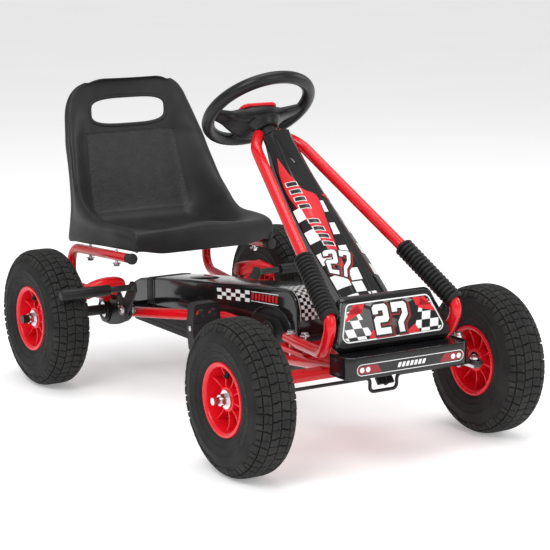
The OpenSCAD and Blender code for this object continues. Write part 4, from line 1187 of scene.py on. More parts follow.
# ------------------------------------------------------------------ steering wheel
WM = Matrix(((1, 0, 0, WC.x), (0, CU.y, CN.y, WC.y), (0, CU.z, CN.z, WC.z), (0, 0, 0, 1)))


def superell(w0, w1, z0, z1, n=28, p=2.6, off=0.0):
    """Closed section between w0..w1 and z0..z1."""
    out = []
    cw, cz = (w0 + w1) / 2, (z0 + z1) / 2
    for k in range(n):
        a = 2 * math.pi * k / n + off
        c, s = math.cos(a), math.sin(a)
        out.append((cw + (w1 - w0) / 2 * math.copysign(abs(c) ** (2 / p), c), cz + (z1 - z0) / 2 * math.copysign(abs(s) ** (2 / p), s)))
    return out


ring = []
for k in range(112):
    a = 2 * math.pi * k / 112
    row = []
    for j in range(24):
        b = 2 * math.pi * j / 24
        cr, cz = math.cos(b), math.sin(b)
        rr = 95 + 11.8 * cr * (1 if cr > 0 else 0.94)
        zz = 11.6 * cz
        if cz < -0.3 and cr < 0.2:
            rr += 0.8
        row.append(WM @ V(rr * math.cos(a), rr * math.sin(a), zz))
    ring.append(row)
v = [p for r in ring for p in r]
f = [(i * 24 + j, i * 24 + (j + 1) % 24, ((i + 1) % 112) * 24 + (j + 1) % 24, ((i + 1) % 112) * 24 + j) for i in range(112) for j in range(24)]
piece("steering_wheel_rim", v, f, WHEELP, "steering", angle=60, replaces=["steering_wheel"])

# hub cover and its two broad arms: one lofted body across the wheel
stations = [(-90, -19, 6, -7, 5), (-84, -20, 7, -8, 5.5), (-74, -21, 9, -9.5, 6), (-62, -23, 12, -12, 6.5), (-50, -28, 15, -18, 7), (-40, -33, 20, -25, 7.4), (-30, -37, 25, -31, 7.8), (-18, -40, 29, -35, 8), (0, -41, 30, -36, 8.2)]
stations = stations + [(-a, b, c, d, e) for (a, b, c, d, e) in reversed(stations[:-1])]
v = []
for t in range((len(stations) - 1) * 3 + 1):
    x, w0, w1, z0, z1 = catmull([list(q) for q in stations], t / 3)
    dw = -17 * smooth((96 - abs(x)) / 50)
    v += [WM @ V(x, p[0] + dw, p[1]) for p in superell(w0, w1, z0, z1, 32, 2.7)]
nr = (len(stations) - 1) * 3 + 1
f = grid_faces(nr, 32, True) + [tuple(range(32))[::-1], tuple((nr - 1) * 32 + j for j in range(32))]
piece("steering_wheel_arms", v, f, WHEELP, "steering", angle=50)
# lower arm
st = [(-28, 24, -18, 4), (-40, 22, -15, 3.5), (-54, 19, -12, 3.5), (-68, 19, -10, 4), (-80, 22, -8.5, 5), (-90, 25, -7, 5)]
v = []
for t in range((len(st) - 1) * 3 + 1):
    y, w, z0, z1 = catmull([list(q) for q in st], t / 3)
    v += [WM @ V(p[0], y, p[1]) for p in superell(-w, w, z0, z1, 28, 2.8)]
nr = (len(st) - 1) * 3 + 1
piece("steering_wheel_lower_arm", v, grid_faces(nr, 28, True) + [tuple(range(28))[::-1], tuple((nr - 1) * 28 + j for j in range(28))], WHEELP, "steering", angle=50)
# collar under the hub
v, f = revolve([(-46, 9), (-46, 20), (-45, 21.4), (-40, 23), (-34, 27), (-30, 30), (-28, 9)], WC, CN, 48)
piece("steering_wheel_collar", v, f, WHEELP, "steering", angle=40)
# red pad: a soft-edged crowned plate
po = round_poly([(-42, -22), (42, -22), (36, 26), (-36, 26)], 13, 7)
loops = []
for (k, z) in ((0.94, 2.0), (1.0, 4.0), (1.0, 5.6), (0.985, 6.8), (0.95, 7.8), (0.86, 8.6), (0.6, 9.4), (0.3, 9.6)):
    loops.append([(p[0] * k, -13 + (p[1] - 2) * k, z - 1.5) for p in po])
v, f = ring_loft(loops, WM, True, True)
piece("wheel_pad_cap", v, f, REDP, "steering", angle=30, replaces=["wheel_pad"])
# bolt through the collar
v, f = join(cyl(col(30) - V(21, 0, 0), col(30) + V(21, 0, 0), 2.6, 20), hexnut(col(30) + V(19, 0, 0), (1, 0, 0), 5.0, 3.6, (6, 0.8)), hexnut(col(30) - V(19, 0, 0), (-1, 0, 0), 5.0, 3.6, (6, 0.8)))
piece("wheel_through_bolt", v, f, ZINC, "steering", angle=25, replaces=["wheel_bolt"])


# ------------------------------------------------------------------ seat
SEAT = [
    [[188, 262], [190, 270], 142, [192, 268]], [[184, 288], [186, 288], 145, [191, 269]], [[187, 305], [188, 301], 146, [193, 270]],
    [[200, 313], [200, 308], 147, [201, 270]], [[225, 309], [225, 311], 149, [226, 269]], [[262, 298], [262, 311], 152, [262, 267]],
    [[310, 288], [314, 311], 155, [314, 264]], [[360, 283], [350, 320], 160, [362, 261]], [[400, 283], [372, 332], 163, [405, 259]],
    [[428, 289], [389, 345], 163, [438, 258]], [[446, 306], [402, 358], 161, [437, 290]], [[457, 335], [413, 372], 159, [435, 325]],
    [[468, 375], [428, 395], 155, [446, 365]], [[480, 415], [441, 420], 150, [463, 402]], [[490, 447], [454, 445], 146, [480, 437]],
    [[494, 466], [462, 460], 142, [489, 460]], [[498, 500], [478, 487], 136, [502, 492]], [[499, 526], [489, 508], 130, [508, 514]],
    [[498, 545], [495, 530], 121, [509, 533]], [[494, 558], [496, 546], 108, [506, 548]], [[488, 563], [493, 556], 92, [500, 557]]]
SROW = [[a[0], a[1], b[0], b[1], w, c[0], c[1], ([0, 6, 9, 7, 4][k - 2] if 2 <= k <= 6 else 0)] for k, (a, b, w, c) in enumerate(SEAT)]


def seat_pt(t, u):
    """u from -1 to 1 across the shell, and beyond it down the skirt to 2."""
    a0, a1, b0, b1, w, c0, c1, dip = catmull(SROW, t)
    q = abs(u)
    if q <= 1:
        g = smooth((q - 0.5) / 0.5)
        d = max(0, dip) * math.sin(math.pi * q) ** 2
        return V(math.copysign(w * math.sin(math.pi / 2 * q) * 0.35 + w * q * 0.65, u), lerp(a0, b0, g), lerp(a1, b1, g) - d)
    f = q - 1
    # a rolled edge before the skirt hangs down
    roll = 4.0 * math.sin(math.pi * min(1, f * 2.2)) if f < 0.4545 else 0
    return V(math.copysign(w + 3 * f + roll, u), lerp(b0, c0, f), lerp(b1, c1, f) + (1.5 * math.sin(math.pi * min(1, f * 4)) if f < 0.25 else 0))


TS = [k / 9 for k in range(20 * 9 + 1)]
UP = [k / 34 for k in range(35)] + [1 + x for x in (0.06, 0.12, 0.2, 0.3, 0.42, 0.56, 0.7, 0.85, 1.0)]
USEAT = [-u for u in reversed(UP[1:])] + UP
HC, HWX, HHZ = 497.5, 85.0, 28.5
grid = [[seat_pt(t, u) for u in USEAT] for t in TS]
ncs = len(USEAT)


def hole(p):
    return (abs(p.x) / HWX) ** 3.4 + (abs((p.z - HC - 0.0) / HHZ)) ** 3.0


keep_f = []
hole_v = set()
pan = []
for i in range(len(TS) - 1):
    for j in range(ncs - 1):
        c = (grid[i][j] + grid[i + 1][j + 1]) / 2
        if TS[i] > 13 and abs((USEAT[j] + USEAT[j + 1]) / 2) < 0.9 and hole(c) < 1:
            hole_v.update([(i, j), (i, j + 1), (i + 1, j + 1), (i + 1, j)])
        else:
            keep_f.append((i, j))
keep_cells = set(keep_f)
edge_v = [q for q in hole_v if any(((q[0] + a, q[1] + b) in keep_cells) for a in (-1, 0) for b in (-1, 0))]
for (i, j) in edge_v:
    p = grid[i][j]
    c = V(0, p.y, HC)
    d = V(p.x, 0, p.z - HC)
    lo, hi = 0.2, 3.0
    for _ in range(30):
        m = (lo + hi) / 2
        if (abs(d.x * m) / HWX) ** 3.4 + (abs(d.z * m) / HHZ) ** 3.0 < 1:
            lo = m
        else:
            hi = m
    nx, nz = d.x * lo, HC + d.z * lo
    grid[i][j] = V(nx, p.y + (nz - p.z) * 0.12, nz)
# pebbled back panel lies a little below the frame around it
def panel(t, u):
    k = 1.0 - max((abs(u) / 0.60) ** 8, (abs(t - 12.2) / 2.3) ** 8)
    return k > 0


base = [[p.copy() for p in r] for r in grid]
for i in range(1, len(TS) - 1):
    for j in range(1, ncs - 1):
        if panel(TS[i], USEAT[j]):
            a = base[i + 1][j] - base[i - 1][j]
            b = base[i][j + 1] - base[i][j - 1]
            nn = unit(b.cross(a))
            if nn.dot(V(0, -1, 0.3)) < 0:
                nn = -nn
            grid[i][j] = base[i][j] - nn * 1.3
verts = [p for r in grid for p in r]
faces = [(i * ncs + j, i * ncs + j + 1, (i + 1) * ncs + j + 1, (i + 1) * ncs + j) for (i, j) in keep_f]
peb = set(k for k, (i, j) in enumerate(keep_f) if panel(TS[i] + 0.05, (USEAT[j] + USEAT[j + 1]) / 2))
me = bpy.data.meshes.new("seat_moulding")
me.from_pydata([W(p) for p in verts], [], faces)
me.materials.append(SEATM)
me.materials.append(PEBBLE)
for k in peb:
    me.polygons[k].material_index = 1
bm = bmesh.new()
bm.from_mesh(me)
bmesh.ops.delete(bm, geom=[q for q in bm.verts if not q.link_faces], context="VERTS")
bmesh.ops.recalc_face_normals(bm, faces=bm.faces)
mid = min(bm.faces, key=lambda q: (q.calc_center_median() - W((0, 350, 283))).length)
if mid.normal.z < 0:
    bmesh.ops.reverse_faces(bm, faces=bm.faces)
bm.to_mesh(me)
bm.free()
seat = finish_piece("seat_moulding", me, SEATM, "chassis", angle=180, replaces=["seat_shell"])
md = seat.modifiers.new("wall", "SOLIDIFY")
md.thickness = 0.005
md.offset = -1
md.use_rim = True
md.use_even_offset = False
md.thickness_clamp = 0.5
md = seat.modifiers.new("edge", "BEVEL")
md.width = 0.0012
md.segments = 2
md.limit_method = "ANGLE"
md.angle_limit = math.radians(50)
# rolled lip round the hand hole
lip = []
for k in range(96):
    a = 2 * math.pi * k / 96
    c, s = math.cos(a), math.sin(a)
    r = 1 / ((abs(c) ** 3.4 + abs(s) ** 3.4) ** (1 / 3.4))
    x, z = (HWX + 0.5) * r * c, HC + (HHZ + 0.5) * r * s
    # y of the shell there
    best = min((abs(base[i][j].x - x) + abs(base[i][j].z - z), i, j) for i in range(13 * 9, 19 * 9) for j in range(0, ncs, 1) if abs(USEAT[j]) <= 0.95)
    lip.append((x, best, z))
lp = []
for (x, (d, i, j), z) in lip:
    b0 = base[i][j]
    a = base[min(i + 1, len(TS) - 1)][j] - base[i - 1][j]
    dy_dz = a.y / a.z if abs(a.z) > 1e-6 else 0
    b = base[i][j + 1] - base[i][j - 1]
    dy_dx = b.y / b.x if abs(b.x) > 1e-6 else 0
    lp.append(V(x, b0.y + dy_dz * (z - b0.z) + dy_dx * (x - b0.x) + 2.0, z))
for _ in range(2):
    lp = [V(q.x, (lp[k - 1].y + q.y * 2 + lp[(k + 1) % 96].y) / 4, q.z) for k, q in enumerate(lp)]
sectl = [(1.0 * math.cos(2 * math.pi * k / 14), 1.0 * math.sin(2 * math.pi * k / 14)) for k in range(14)]
v, f = sweep(lp, 4.0, sect=sectl, closed=True, up=(0, 1, 0))
piece("seat_hole_lip", v, f, SEATM, "chassis", angle=80)
# washers and bolt heads that hold the seat on its tubes
parts = []
for s in (-1, 1):
    for y in (262, 372):
        z = 252 - (y - 203) * 0.0642
        parts.append(hexnut(V(s * 152, y, z - 9.4), (0, 0, -1), 6.6, 4.6, (8.2, 1.2)))
        parts.append(cyl((s * 152, y, z - 12), (s * 152, y, z + 16), 3, 16))
for s in (-1, 1):
    for y in (-232, -276):
        top = 190.5 if y == -232 else 194.5
        parts.append(cyl((75 * s, y, 152), (75 * s, y, top), 3, 16))
        parts.append(hexnut(V(75 * s, y, top - 1.0), (0, 0, 1), 6.8, 4.6, (8.6, 1.3)))
    parts.append(cyl((117 * s, 262, 146), (147.5 * s, 262, 146), 5, 20))
    parts.append(hexnut(V(142 * s, 262, 146), (s, 0, 0), 8.0, 3.6, (9.5, 1.0)))
    parts.append(hexnut(V(119.4 * s, 262, 146), (-s, 0, 0), 8.0, 3.2, (9.0, 0.8)))
v, f = join(*parts)
piece("frame_fasteners", v, f, ZINC, "chassis", angle=25, replaces=["frame_bolts"])

# ------------------------------------------------------------------ chain case
CY, CZ = YF + 236, 166.0


def split_z(y):
    return AXZ + (YR - y) * (CZ - AXZ) / (YR - CY)


def side_loft(out, hw, R, at_x=0.0):
    """A moulding across x with the (y, z) outline out: flat walls at -hw and hw, edges rounded by R."""
    loops = []
    K = 5
    for k in range(K + 1):
        a = math.pi / 2 * k / K
        g = R * (1 - math.sin(a))
        loops.append([V(at_x - hw + R * (1 - math.cos(a)), p[0], p[1]) for p in grow(out, -g)])
    loops += [[V(2 * at_x - p.x, p.y, p.z) for p in lp] for lp in reversed(loops)]
    n = len(out)
    v = [p for lp in loops for p in lp]
    f = []
    for i in range(len(loops) - 1):
        for k in range(n):
            f.append((i * n + k, i * n + (k + 1) % n, (i + 1) * n + (k + 1) % n, (i + 1) * n + k))
    for base_i, flip_f in ((0, True), (len(loops) - 1, False)):
        lp = loops[base_i]
        for tr in tessellate_polygon([[Vector((p.y, p.z, 0)) for p in lp]]):
            q = tuple(base_i * n + i for i in tr)
            f.append(q[::-1] if flip_f else q)
    return v, f


top_pts = [(430, split_z(430) + 0.2), (424, 146), (404, 168), (380, 178), (300, 192), (180, 208), (60, 222), (-60, 238), (-150, 250), (-176, 250), (-192, 240), (-200, 222), (-203, split_z(-203) + 0.2)]
top_line = round_poly(top_pts, [1.5, 14, 14, 26, 120, 200, 200, 200, 80, 20, 18, 20, 1.5], 5)
arch = []
for k in range(25):
    a = math.pi * k / 24
    arch.append((CY + 4 - 68 * math.cos(a), split_z(CY + 4 - 68 * math.cos(a)) + 0.2 + 44 * math.sin(a)))
v, f = side_loft(top_line + arch, 42, 5.0)
piece("chain_case_top", v, f, GLOSS, "chassis", angle=30, replaces=["chain_case_upper"])
# rolled lip round the crank opening on both walls, and the dark inner wall behind it
for tag, s in (("right", -1), ("left", 1)):
    pts = [V(s * 41.6, CY + 4 - 69 * math.cos(math.pi * k / 28), split_z(CY + 4 - 69 * math.cos(math.pi * k / 28)) + 1.0 + 45 * math.sin(math.pi * k / 28)) for k in range(29)]
    v, f = sweep(pts, 1.7, 10)
    piece(f"chain_case_lip_{tag}", v, f, GLOSS, "chassis", angle=60)
disc = [(CY + 4 + 66 * math.cos(2 * math.pi * k / 40), 168 + 42 * math.sin(2 * math.pi * k / 40)) for k in range(40)]
v, f = side_loft(disc, 37.5, 2.0)
bore = []
for s in (-1, 1):
    bore.append(revolve([(0, 15.2), (0, 19.5), (1.2, 20.5), (2.8, 20.5), (4, 19.5), (4, 15.2)], (37.6 * s if s > 0 else -37.6, CY, CZ), (s, 0, 0), 40))
v, f = join((v, f), *bore)
piece("chain_case_well", v, f, MATT, "chassis", angle=35)
# moulded ribs round the rear of the case
for k, (y, r) in enumerate(((317, 1.3), (345, 1.3))):
    zt = 178 + (380 - y) * 0.175
    pts = bent([V(-42, y, split_z(y) + 1), V(-42, y, zt), V(42, y, zt), V(42, y, split_z(y) + 1)], 5.5, 15)
    v, f = sweep(pts, r, 10)
    piece(f"chain_case_rib_{k}", v, f, GLOSS, "chassis", angle=60)
v, f = side_loft([(343, split_z(343) + 1), (343, 185.6), (319, 189.8), (319, split_z(319) + 1)][::-1], 43.0, 5.5)
piece("chain_case_strap", v, f, MATT, "chassis", angle=35)
# low oval swelling on the top, ahead of the seat
rows = []
for i in range(9):
    a = math.pi / 2 * i / 8
    row = []
    for j in range(40):
        b = 2 * math.pi * j / 40
        x, y = 24 * math.cos(a) * math.cos(b), 196 + 46 * math.cos(a) * math.sin(b)
        zt = 208 + (180 - y) * (222 - 208) / (180 - 60) if y <= 180 else 208 - (y - 180) * 16 / 120
        zt = zt if y <= 180 else 208 - (y - 180) * 0.1333
        row.append(V(x, y, (208 + (180 - y) * 0.1167 if y <= 180 else zt) - 1.0 + 5.0 * math.sin(a)))
    rows.append(row)
v = [p for r in rows for p in r]
piece("chain_case_swelling", v, grid_faces(9, 40, True) + [tuple(range(8 * 40, 9 * 40))], GLOSS, "chassis", angle=50)

low_pts = [(-196, split_z(-196) - 0.4)] + [(CY + 76 * math.cos(math.radians(a)), CZ - 0.4 + 76 * math.sin(math.radians(a))) for a in range(190, 256, 9)] + [(-60, 93.6), (200, 90.6), (404, 89.6), (422, 101.6), (430, split_z(430) - 0.4)]
low_line = round_poly(low_pts[:-4], 0, 1) + round_poly([low_pts[-5]] + low_pts[-4:] + [low_pts[0]], [0, 120, 14, 12, 1.2, 0], 5)[1:-1]
v, f = side_loft(low_line, 42, 6.0)
piece("chain_case_bottom", v, f, MATT, "chassis", angle=32, replaces=["chain_case_lower"])
v = [V(s * x, y, z) for s in (-1, 1) for (y, z) in ((300, 118), (-20, 118), (-20, 122), (300, 122)) for x in (41.5, 43.2)]
for tag, s in (("right", -1), ("left", 1)):
    rib = []
    for z in (104.0, 113.0, 122.0):
        rib.append(sweep([V(s * 42, -10, z), V(s * 42, 380, z - 3)], 0.95, 8))
    v, f = join(*rib)
    piece(f"chain_case_flutes_{tag}", v, f, MATT, "chassis", angle=60)

for tag, s in (("right", -1), ("left", 1)):
    sf = (lambda s: (lambda y, z: (V(s * 42, y, z), V(s, 0, 0))))(s)
    bl, br, tl, tr = (71, 192), (-43, 206), (74, 212), (-43, 227)
    cells = []
    for i in range(7):
        for j in range(3):
            if (i + j) % 2 == 0:
                q = [(i / 7, j / 3), ((i + 1) / 7, j / 3), ((i + 1) / 7, (j + 1) / 3), (i / 7, (j + 1) / 3)]
                cells.append(bil(q, bl, br, tl, tr))
    decal(f"case_checkers_{tag}", cells, sf, WHITE, "chassis", 0.35, 40)
    cells = []
    for i in range(8):
        q = [(i / 8 + 0.012, 0.18), (i / 8 + 0.085, 0.18), (i / 8 + 0.095, 0.82), (i / 8 + 0.022, 0.82)]
        cells.append(bil(q, (-48, 209), (-140, 217), (-48, 227), (-140, 237)))
    decal(f"case_bars_{tag}", cells, sf, DRED, "chassis", 0.35, 40)
    decal(f"case_bar_line_{tag}", [bil([(0, 0), (1, 0), (1, 0.07), (0, 0.07)], (-48, 209), (-140, 217), (-48, 227), (-140, 237)), bil([(0, 0.93), (1, 0.93), (1, 1), (0, 1)], (-48, 209), (-140, 217), (-48, 227), (-140, 237))], sf, WHITE, "chassis", 0.35, 40)

# checkers wrapped over the case's front end
FRONT_LINE = [q for q in top_line if q[0] < -128 and q[1] > 174]
FRONT_LINE = [(-128, 247.0)] + FRONT_LINE
FL = [0.0]
for i in range(len(FRONT_LINE) - 1):
    FL.append(FL[-1] + math.dist(FRONT_LINE[i], FRONT_LINE[i + 1]))


def case_front(x, t):
    t = max(0.0, min(FL[-1] - 1e-4, t))
    i = max(k for k in range(len(FL) - 1) if FL[k] <= t)
    q = (t - FL[i]) / max(1e-6, FL[i + 1] - FL[i])
    a, b = FRONT_LINE[i], FRONT_LINE[i + 1]
    d = unit(V(0, b[0] - a[0], b[1] - a[1]))
    return V(x, lerp(a[0], b[0], q), lerp(a[1], b[1], q)), V(0, d.z, -d.y)


if case_front(0, 30)[1].dot(V(0, -1, 1)) < 0:
    _cf = case_front
    case_front = lambda x, t: (_cf(x, t)[0], -_cf(x, t)[1])
decal("case_front_checkers", checker(-33.0, 15, 6.6, 6.6, 10, 14), case_front, WHITE, "chassis", 0.4, 5)
decal("case_front_line", [[(-36.0, 8), (-34.8, 8), (-34.8, 108), (-36.0, 108)], [(34.8, 8), (36.0, 8), (36.0, 108), (34.8, 108)]], case_front, WHITE, "chassis", 0.4, 5)


# ------------------------------------------------------------------ cranks and pedals
def hull2(c1, r1, c2, r2, n=14):
    """Outline round two circles."""
    dx, dy = c2[0] - c1[0], c2[1] - c1[1]
    L = math.hypot(dx, dy)
    a0 = math.atan2(dy, dx)
    b = math.acos(max(-1, min(1, (r1 - r2) / L)))
    out = []
    for k in range(n + 1):
        a = a0 + b + (2 * math.pi - 2 * b) * k / n
        out.append((c1[0] + r1 * math.cos(a), c1[1] + r1 * math.sin(a)))
    for k in range(n + 1):
        a = a0 - b + 2 * b * k / n
        out.append((c2[0] + r2 * math.cos(a), c2[1] + r2 * math.sin(a)))
    return out


def holed(out, holes, h0, h1, m):
    """The outline with holes through it, between h0 and h1 of m's third axis."""
    loops = [out] + holes
    pts = [q for lp in loops for q in lp]
    n = len(pts)
    v = [m @ V(q[0], q[1], h0) for q in pts] + [m @ V(q[0], q[1], h1) for q in pts]
    tris = tessellate_polygon([[Vector((q[0], q[1], 0)) for q in lp] for lp in loops])
    f = [tuple(t)[::-1] for t in tris] + [tuple(i + n for i in t) for t in tris]
    k = 0
    for lp in loops:
        L = len(lp)
        for i in range(L):
            a, b = k + i, k + (i + 1) % L
            f.append((a, b, b + n, a + n))
        k += L
    return v, f


CR = 100.0
parts, spin = [], []
parts.append(cyl((-92.6, CY, CZ), (92.6, CY, CZ), 8, 32, 0.8))
for s in (-1, 1):
    yp = CY - s * CR
    xa = 86 if s > 0 else -93
    v, f = plate_x(xa + 0.4, xa + 6.6, hull2((CY, CZ), 14, (yp, CZ), 10.5))
    parts.append((v, f))
    parts.append(revolve([(0, 0), (0, 10.5), (0.8, 11.3), (3.6, 11.3), (4.4, 10.5), (4.4, 0)], (s * 92.4, CY, CZ), (s, 0, 0), 32))
    spin.append(cyl((s * 93, yp, CZ), (s * 152.8, yp, CZ), 5, 24, 0.6))
    spin.append(hexnut(V(s * 92.9, yp, CZ), (s, 0, 0), 7.4, 1.5))
v, f = join(*parts)
piece("crank_arms", v, f, BLACKP, "crank", bevel=0.9, segs=2, angle=40, replaces=["crankset"])
v, f = join(*spin)
piece("pedal_spindles", v, f, ZINC, "crank", angle=30)
PEDALP = material("pedal_plastic", (0.010, 0.010, 0.011), (0.020, 0.020, 0.022), (0.34, 0.48), scale=34, bump=0.3, bump_scale=900, spec=0.28)
for tag, s in (("right", -1), ("left", 1)):
    yp = CY - s * CR
    x0 = 94.5 if s > 0 else -152.0
    m = Matrix(((1, 0, 0, x0 + 28.75), (0, 0, 1, yp), (0, 1, 0, CZ), (0, 0, 0, 1)))
    out = round_poly([(-24.5, -45), (24.5, -45), (28.6, -8), (28.6, 12), (25.5, 45), (-25.5, 45), (-28.6, 12), (-28.6, -8)], [8, 8, 20, 20, 9, 9, 20, 20], 5)
    holes = [circ(-12.6, 27, 8.6, 28), circ(12.6, 27, 8.6, 28), round_poly([(-18.5, -36.5), (18.5, -36.5), (18.5, -19.5), (-18.5, -19.5)], 7, 6)]
    parts = [holed(out, [h[::-1] for h in holes], -11.4, 11.4, m)]
    v, f = parts[0]
    piece(f"pedal_{tag}_block", v, f, PEDALP, f"pedal_{tag}", bevel=2.2, segs=3, angle=50, replaces=[f"pedal_{tag}"])
    rib = []
    for z in (-41.2, -14.5, -9.0, 9.5, 14.5, 39.5):
        w = 21 if abs(z) > 30 else 25.5
        for h in (-11.9, 11.9):
            rib.append(sweep([V(x0 + 28.75 - w, yp + h * 0.985, CZ + z), V(x0 + 28.75 + w, yp + h * 0.985, CZ + z)], 1.0, 8))
    rib.append(revolve([(-28.7, 5.4), (-28.7, 10.0), (-27.9, 11.0), (27.9, 11.0), (28.7, 10.0), (28.7, 5.4)], (x0 + 28.75, yp, CZ), (1, 0, 0), 32))
    v, f = join(*rib)
    piece(f"pedal_{tag}_ribs", v, f, PEDALP, f"pedal_{tag}", angle=50)

# ------------------------------------------------------------------ brakes
for tag, s in (("right", -1), ("left", 1)):
    b = f"brake_{tag}"
    lev = round_poly([(256, 134), (268, 134), (277, 150), (297, 175), (287, 185), (266, 162), (234, 207), (217, 207), (213, 192), (249, 140)], [6, 6, 6, 6, 5, 4, 7, 6, 6, 8], 5)
    x = sorted((s * 134, s * 139))
    v, f = plate_x(x[0] + 0.1, x[1] - 0.1, lev)
    piece(f"brake_lever_{tag}_plate", v, f, BLACKP, b, bevel=0.8, angle=40, replaces=[f"brake_lever_{tag}"])
    parts = [revolve([(0, 5.1), (0, 10.4), (0.6, 11), (4.6, 11), (5.2, 10.4), (5.2, 5.1)], (s * 133.9, 262, 146), (s, 0, 0), 40)]
    parts.append(cyl((s * 134.5, 224, 197), (s * 190, 224, 197), 6, 28, 0.6))
    parts.append(revolve([(0, 6.0), (0, 7.4), (5, 6.2), (5, 6.0)], (s * 139, 224, 197), (s, 0, 0), 28))
    parts.append(cyl((s * 134, 288, 178), (s * 140.6, 288, 178), 8, 32, 0.8))
    v, f = join(*parts)
    piece(f"brake_lever_{tag}_bar", v, f, BLACKP, b, angle=40)
    # rubber sleeve over the bar, with a rounded closed end
    v, f = revolve([(0, 6.05), (0, 9.4), (0.5, 10.2), (1.2, 10.5), (97.4, 10.5), (99.2, 9.8), (100.2, 8.2), (100.5, 6.0), (100.5, 0), (98.6, 0), (98.6, 6.05)][:9] + [(98.6, 0)], (s * 188, 224, 197), (s, 0, 0), 44)
    piece(f"brake_shoe_{tag}_sleeve", v, f, RUBBER, b, angle=45, replaces=[f"brake_shoe_{tag}"])
    # red grip: a soft-edged bar set askew
    rot = Matrix.Rotation(math.radians(8), 4, "Y") if s > 0 else Matrix.Rotation(math.radians(-8), 4, "Y")
    m = Matrix.Translation(V(s * 168, 287, 187)) @ rot
    go = round_poly([(-15, -12), (15, -12), (14, 13), (-14, 13)], [7.5, 7.5, 9.5, 9.5], 7)
    loops = []
    for (xx, g) in ((-42, 5.2), (-41.3, 3.0), (-40, 1.6), (-37, 0.6), (-33, 0.1), (-26, 0), (-19, 0), (-12, 0), (-6, 0), (0, 0), (6, 0), (12, 0), (19, 0), (26, 0), (33, 0.1), (37, 0.6), (40, 1.6), (41.3, 3.0), (42, 5.2)):
        rise = 7.5 * (1 - (xx / 42) ** 2) - 1.5
        loops.append([(xx, p[0] * (1 - g / 14), rise + 0.5 + (p[1] - 0.5) * (1 - g / 12.5)) for p in go])
    v, f = ring_loft(loops, m, True, True)
    piece(f"brake_grip_{tag}_bar", v, f, REDP, b, angle=34, replaces=[f"brake_grip_{tag}"])
    leg = bent([V(s * 140, 288, 178), V(s * 147, 288, 178), V(s * 152, 287, 184)], 4, 12)
    v, f = sweep(leg, 6.4, 18)
    piece(f"brake_grip_{tag}_leg", v, f, REDP, b, angle=50)
    # return spring on the pivot
    hx_pts = []
    for k in range(3 * 20 + 1):
        a = 2 * math.pi * k / 20
        hx_pts.append(V(s * lerp(120.9, 127.0, k / 60), 262 + 7.6 * math.cos(a), 146 + 7.6 * math.sin(a)))
    v, f = sweep(hx_pts, 1.05, 10)
    piece(f"brake_spring_{tag}_coil", v, f, ZINC, "chassis", angle=60, replaces=["brake_springs"])

# ------------------------------------------------------------------ rear brackets
for tag, s in (("right", -1), ("left", 1)):
    x = sorted((s * 128, s * 132))
    o = round_poly([(374, 108), (380, 122), (380, 150), (366, 166), (290, 166), (272, 166), (252, 164), (246, 156), (248, 134), (262, 124), (300, 110), (332, 103.5), (366, 103.5)], [8, 10, 8, 10, 10, 8, 5, 5, 10, 20, 30, 16, 9], 5)
    holes = [circ(YR, AXZ, 16.05, 40)[::-1], circ(262, 146, 5.1, 20)[::-1], circ(300, 146, 7.5, 24)[::-1]]
    m = Matrix(((0, 0, 1, 0), (1, 0, 0, 0), (0, 1, 0, 0), (0, 0, 0, 1)))
    v, f = holed(o, holes, x[0], x[1], m)
    piece(f"axle_bracket_{tag}_plate", v, f, BLACKP, "chassis", bevel=0.7, angle=50, replaces=["axle_brackets"])
    # pressed flange round the bearing
    fl_parts = [revolve([(0, 16.2), (0, 25), (0.6, 25.6), (1.6, 25.6), (2.2, 25), (2.6, 20.5), (5.6, 19.6), (6, 19), (6, 16.2)], (s * 132, YR, AXZ), (s, 0, 0), 48)]
    v, f = join(*fl_parts)
    piece(f"axle_flange_{tag}", v, f, BLACKP, "chassis", angle=35)
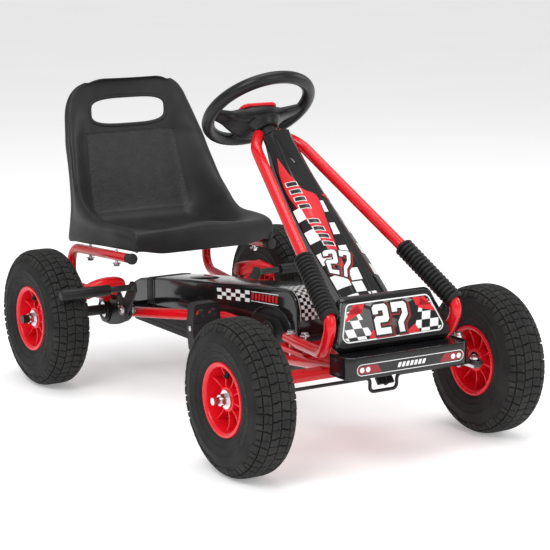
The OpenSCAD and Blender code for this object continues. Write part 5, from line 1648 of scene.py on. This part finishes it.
crank_o = round_poly([(-60, 158), (-60, 184), (-84, 196), (-150, 196), (-172, 176), (-172, 128), (-150, 122), (-100, 134)], [6, 8, 14, 16, 14, 12, 12, 20], 5)
parts = []
m = Matrix(((0, 0, 1, 0), (1, 0, 0, 0), (0, 1, 0, 0), (0, 0, 0, 1)))
for s in (-1, 1):
    x = sorted((s * 45, s * 49))
    parts.append(holed(crank_o, [circ(CY, CZ, 15.05, 40)[::-1], circ(-150, 142, 5, 18)[::-1]], x[0], x[1], m))
    parts.append(revolve([(0, 15.1), (0, 20.4), (0.7, 21), (2.4, 21), (3.0, 20.4), (3.0, 15.1)], (s * 49, CY, CZ), (s, 0, 0), 40))
v, f = join(*parts)
piece("crank_side_plates", v, f, BLACKP, "chassis", bevel=0.6, angle=50, replaces=["crank_plates"])

# ------------------------------------------------------------------ bodies kept as they are, given their finishes and softened edges
KEPT = {"drive_chain": STEEL, "rear_sprocket": STEEL, "chainring": STEEL, "axle_bearings": ZINC, "crank_bearings": ZINC, "column_bushes": MATT,
        "steering_column": BLACKP, "tie_rod": BLACKP, "knuckle_right": ZINC, "knuckle_left": ZINC, "front_bearings_right": ZINC, "front_bearings_left": ZINC, "rear_axle": BLACKP}
for name, mat in KEPT.items():
    o = NODES[name]
    if o.data.materials:
        for i in range(len(o.data.materials)):
            o.data.materials[i] = mat
    else:
        o.data.materials.append(mat)
    md = o.modifiers.new("edges", "BEVEL")
    md.width = 0.0006
    md.segments = 2
    md.limit_method = "ANGLE"
    md.angle_limit = math.radians(45)

# ------------------------------------------------------------------ floor
me = bpy.data.meshes.new("floor")
me.from_pydata([(-30, -30, -0.0005), (30, -30, -0.0005), (30, 30, -0.0005), (-30, 30, -0.0005)], [], [(0, 1, 2, 3)])
me.materials.append(FLOOR)
FLOOR.node_tree.nodes["Principled BSDF"].inputs["Emission Color"].default_value = (1, 1, 1, 1)
FLOOR.node_tree.nodes["Principled BSDF"].inputs["Emission Strength"].default_value = 0.28
fl = bpy.data.objects.new("floor", me)
bpy.context.scene.collection.objects.link(fl)
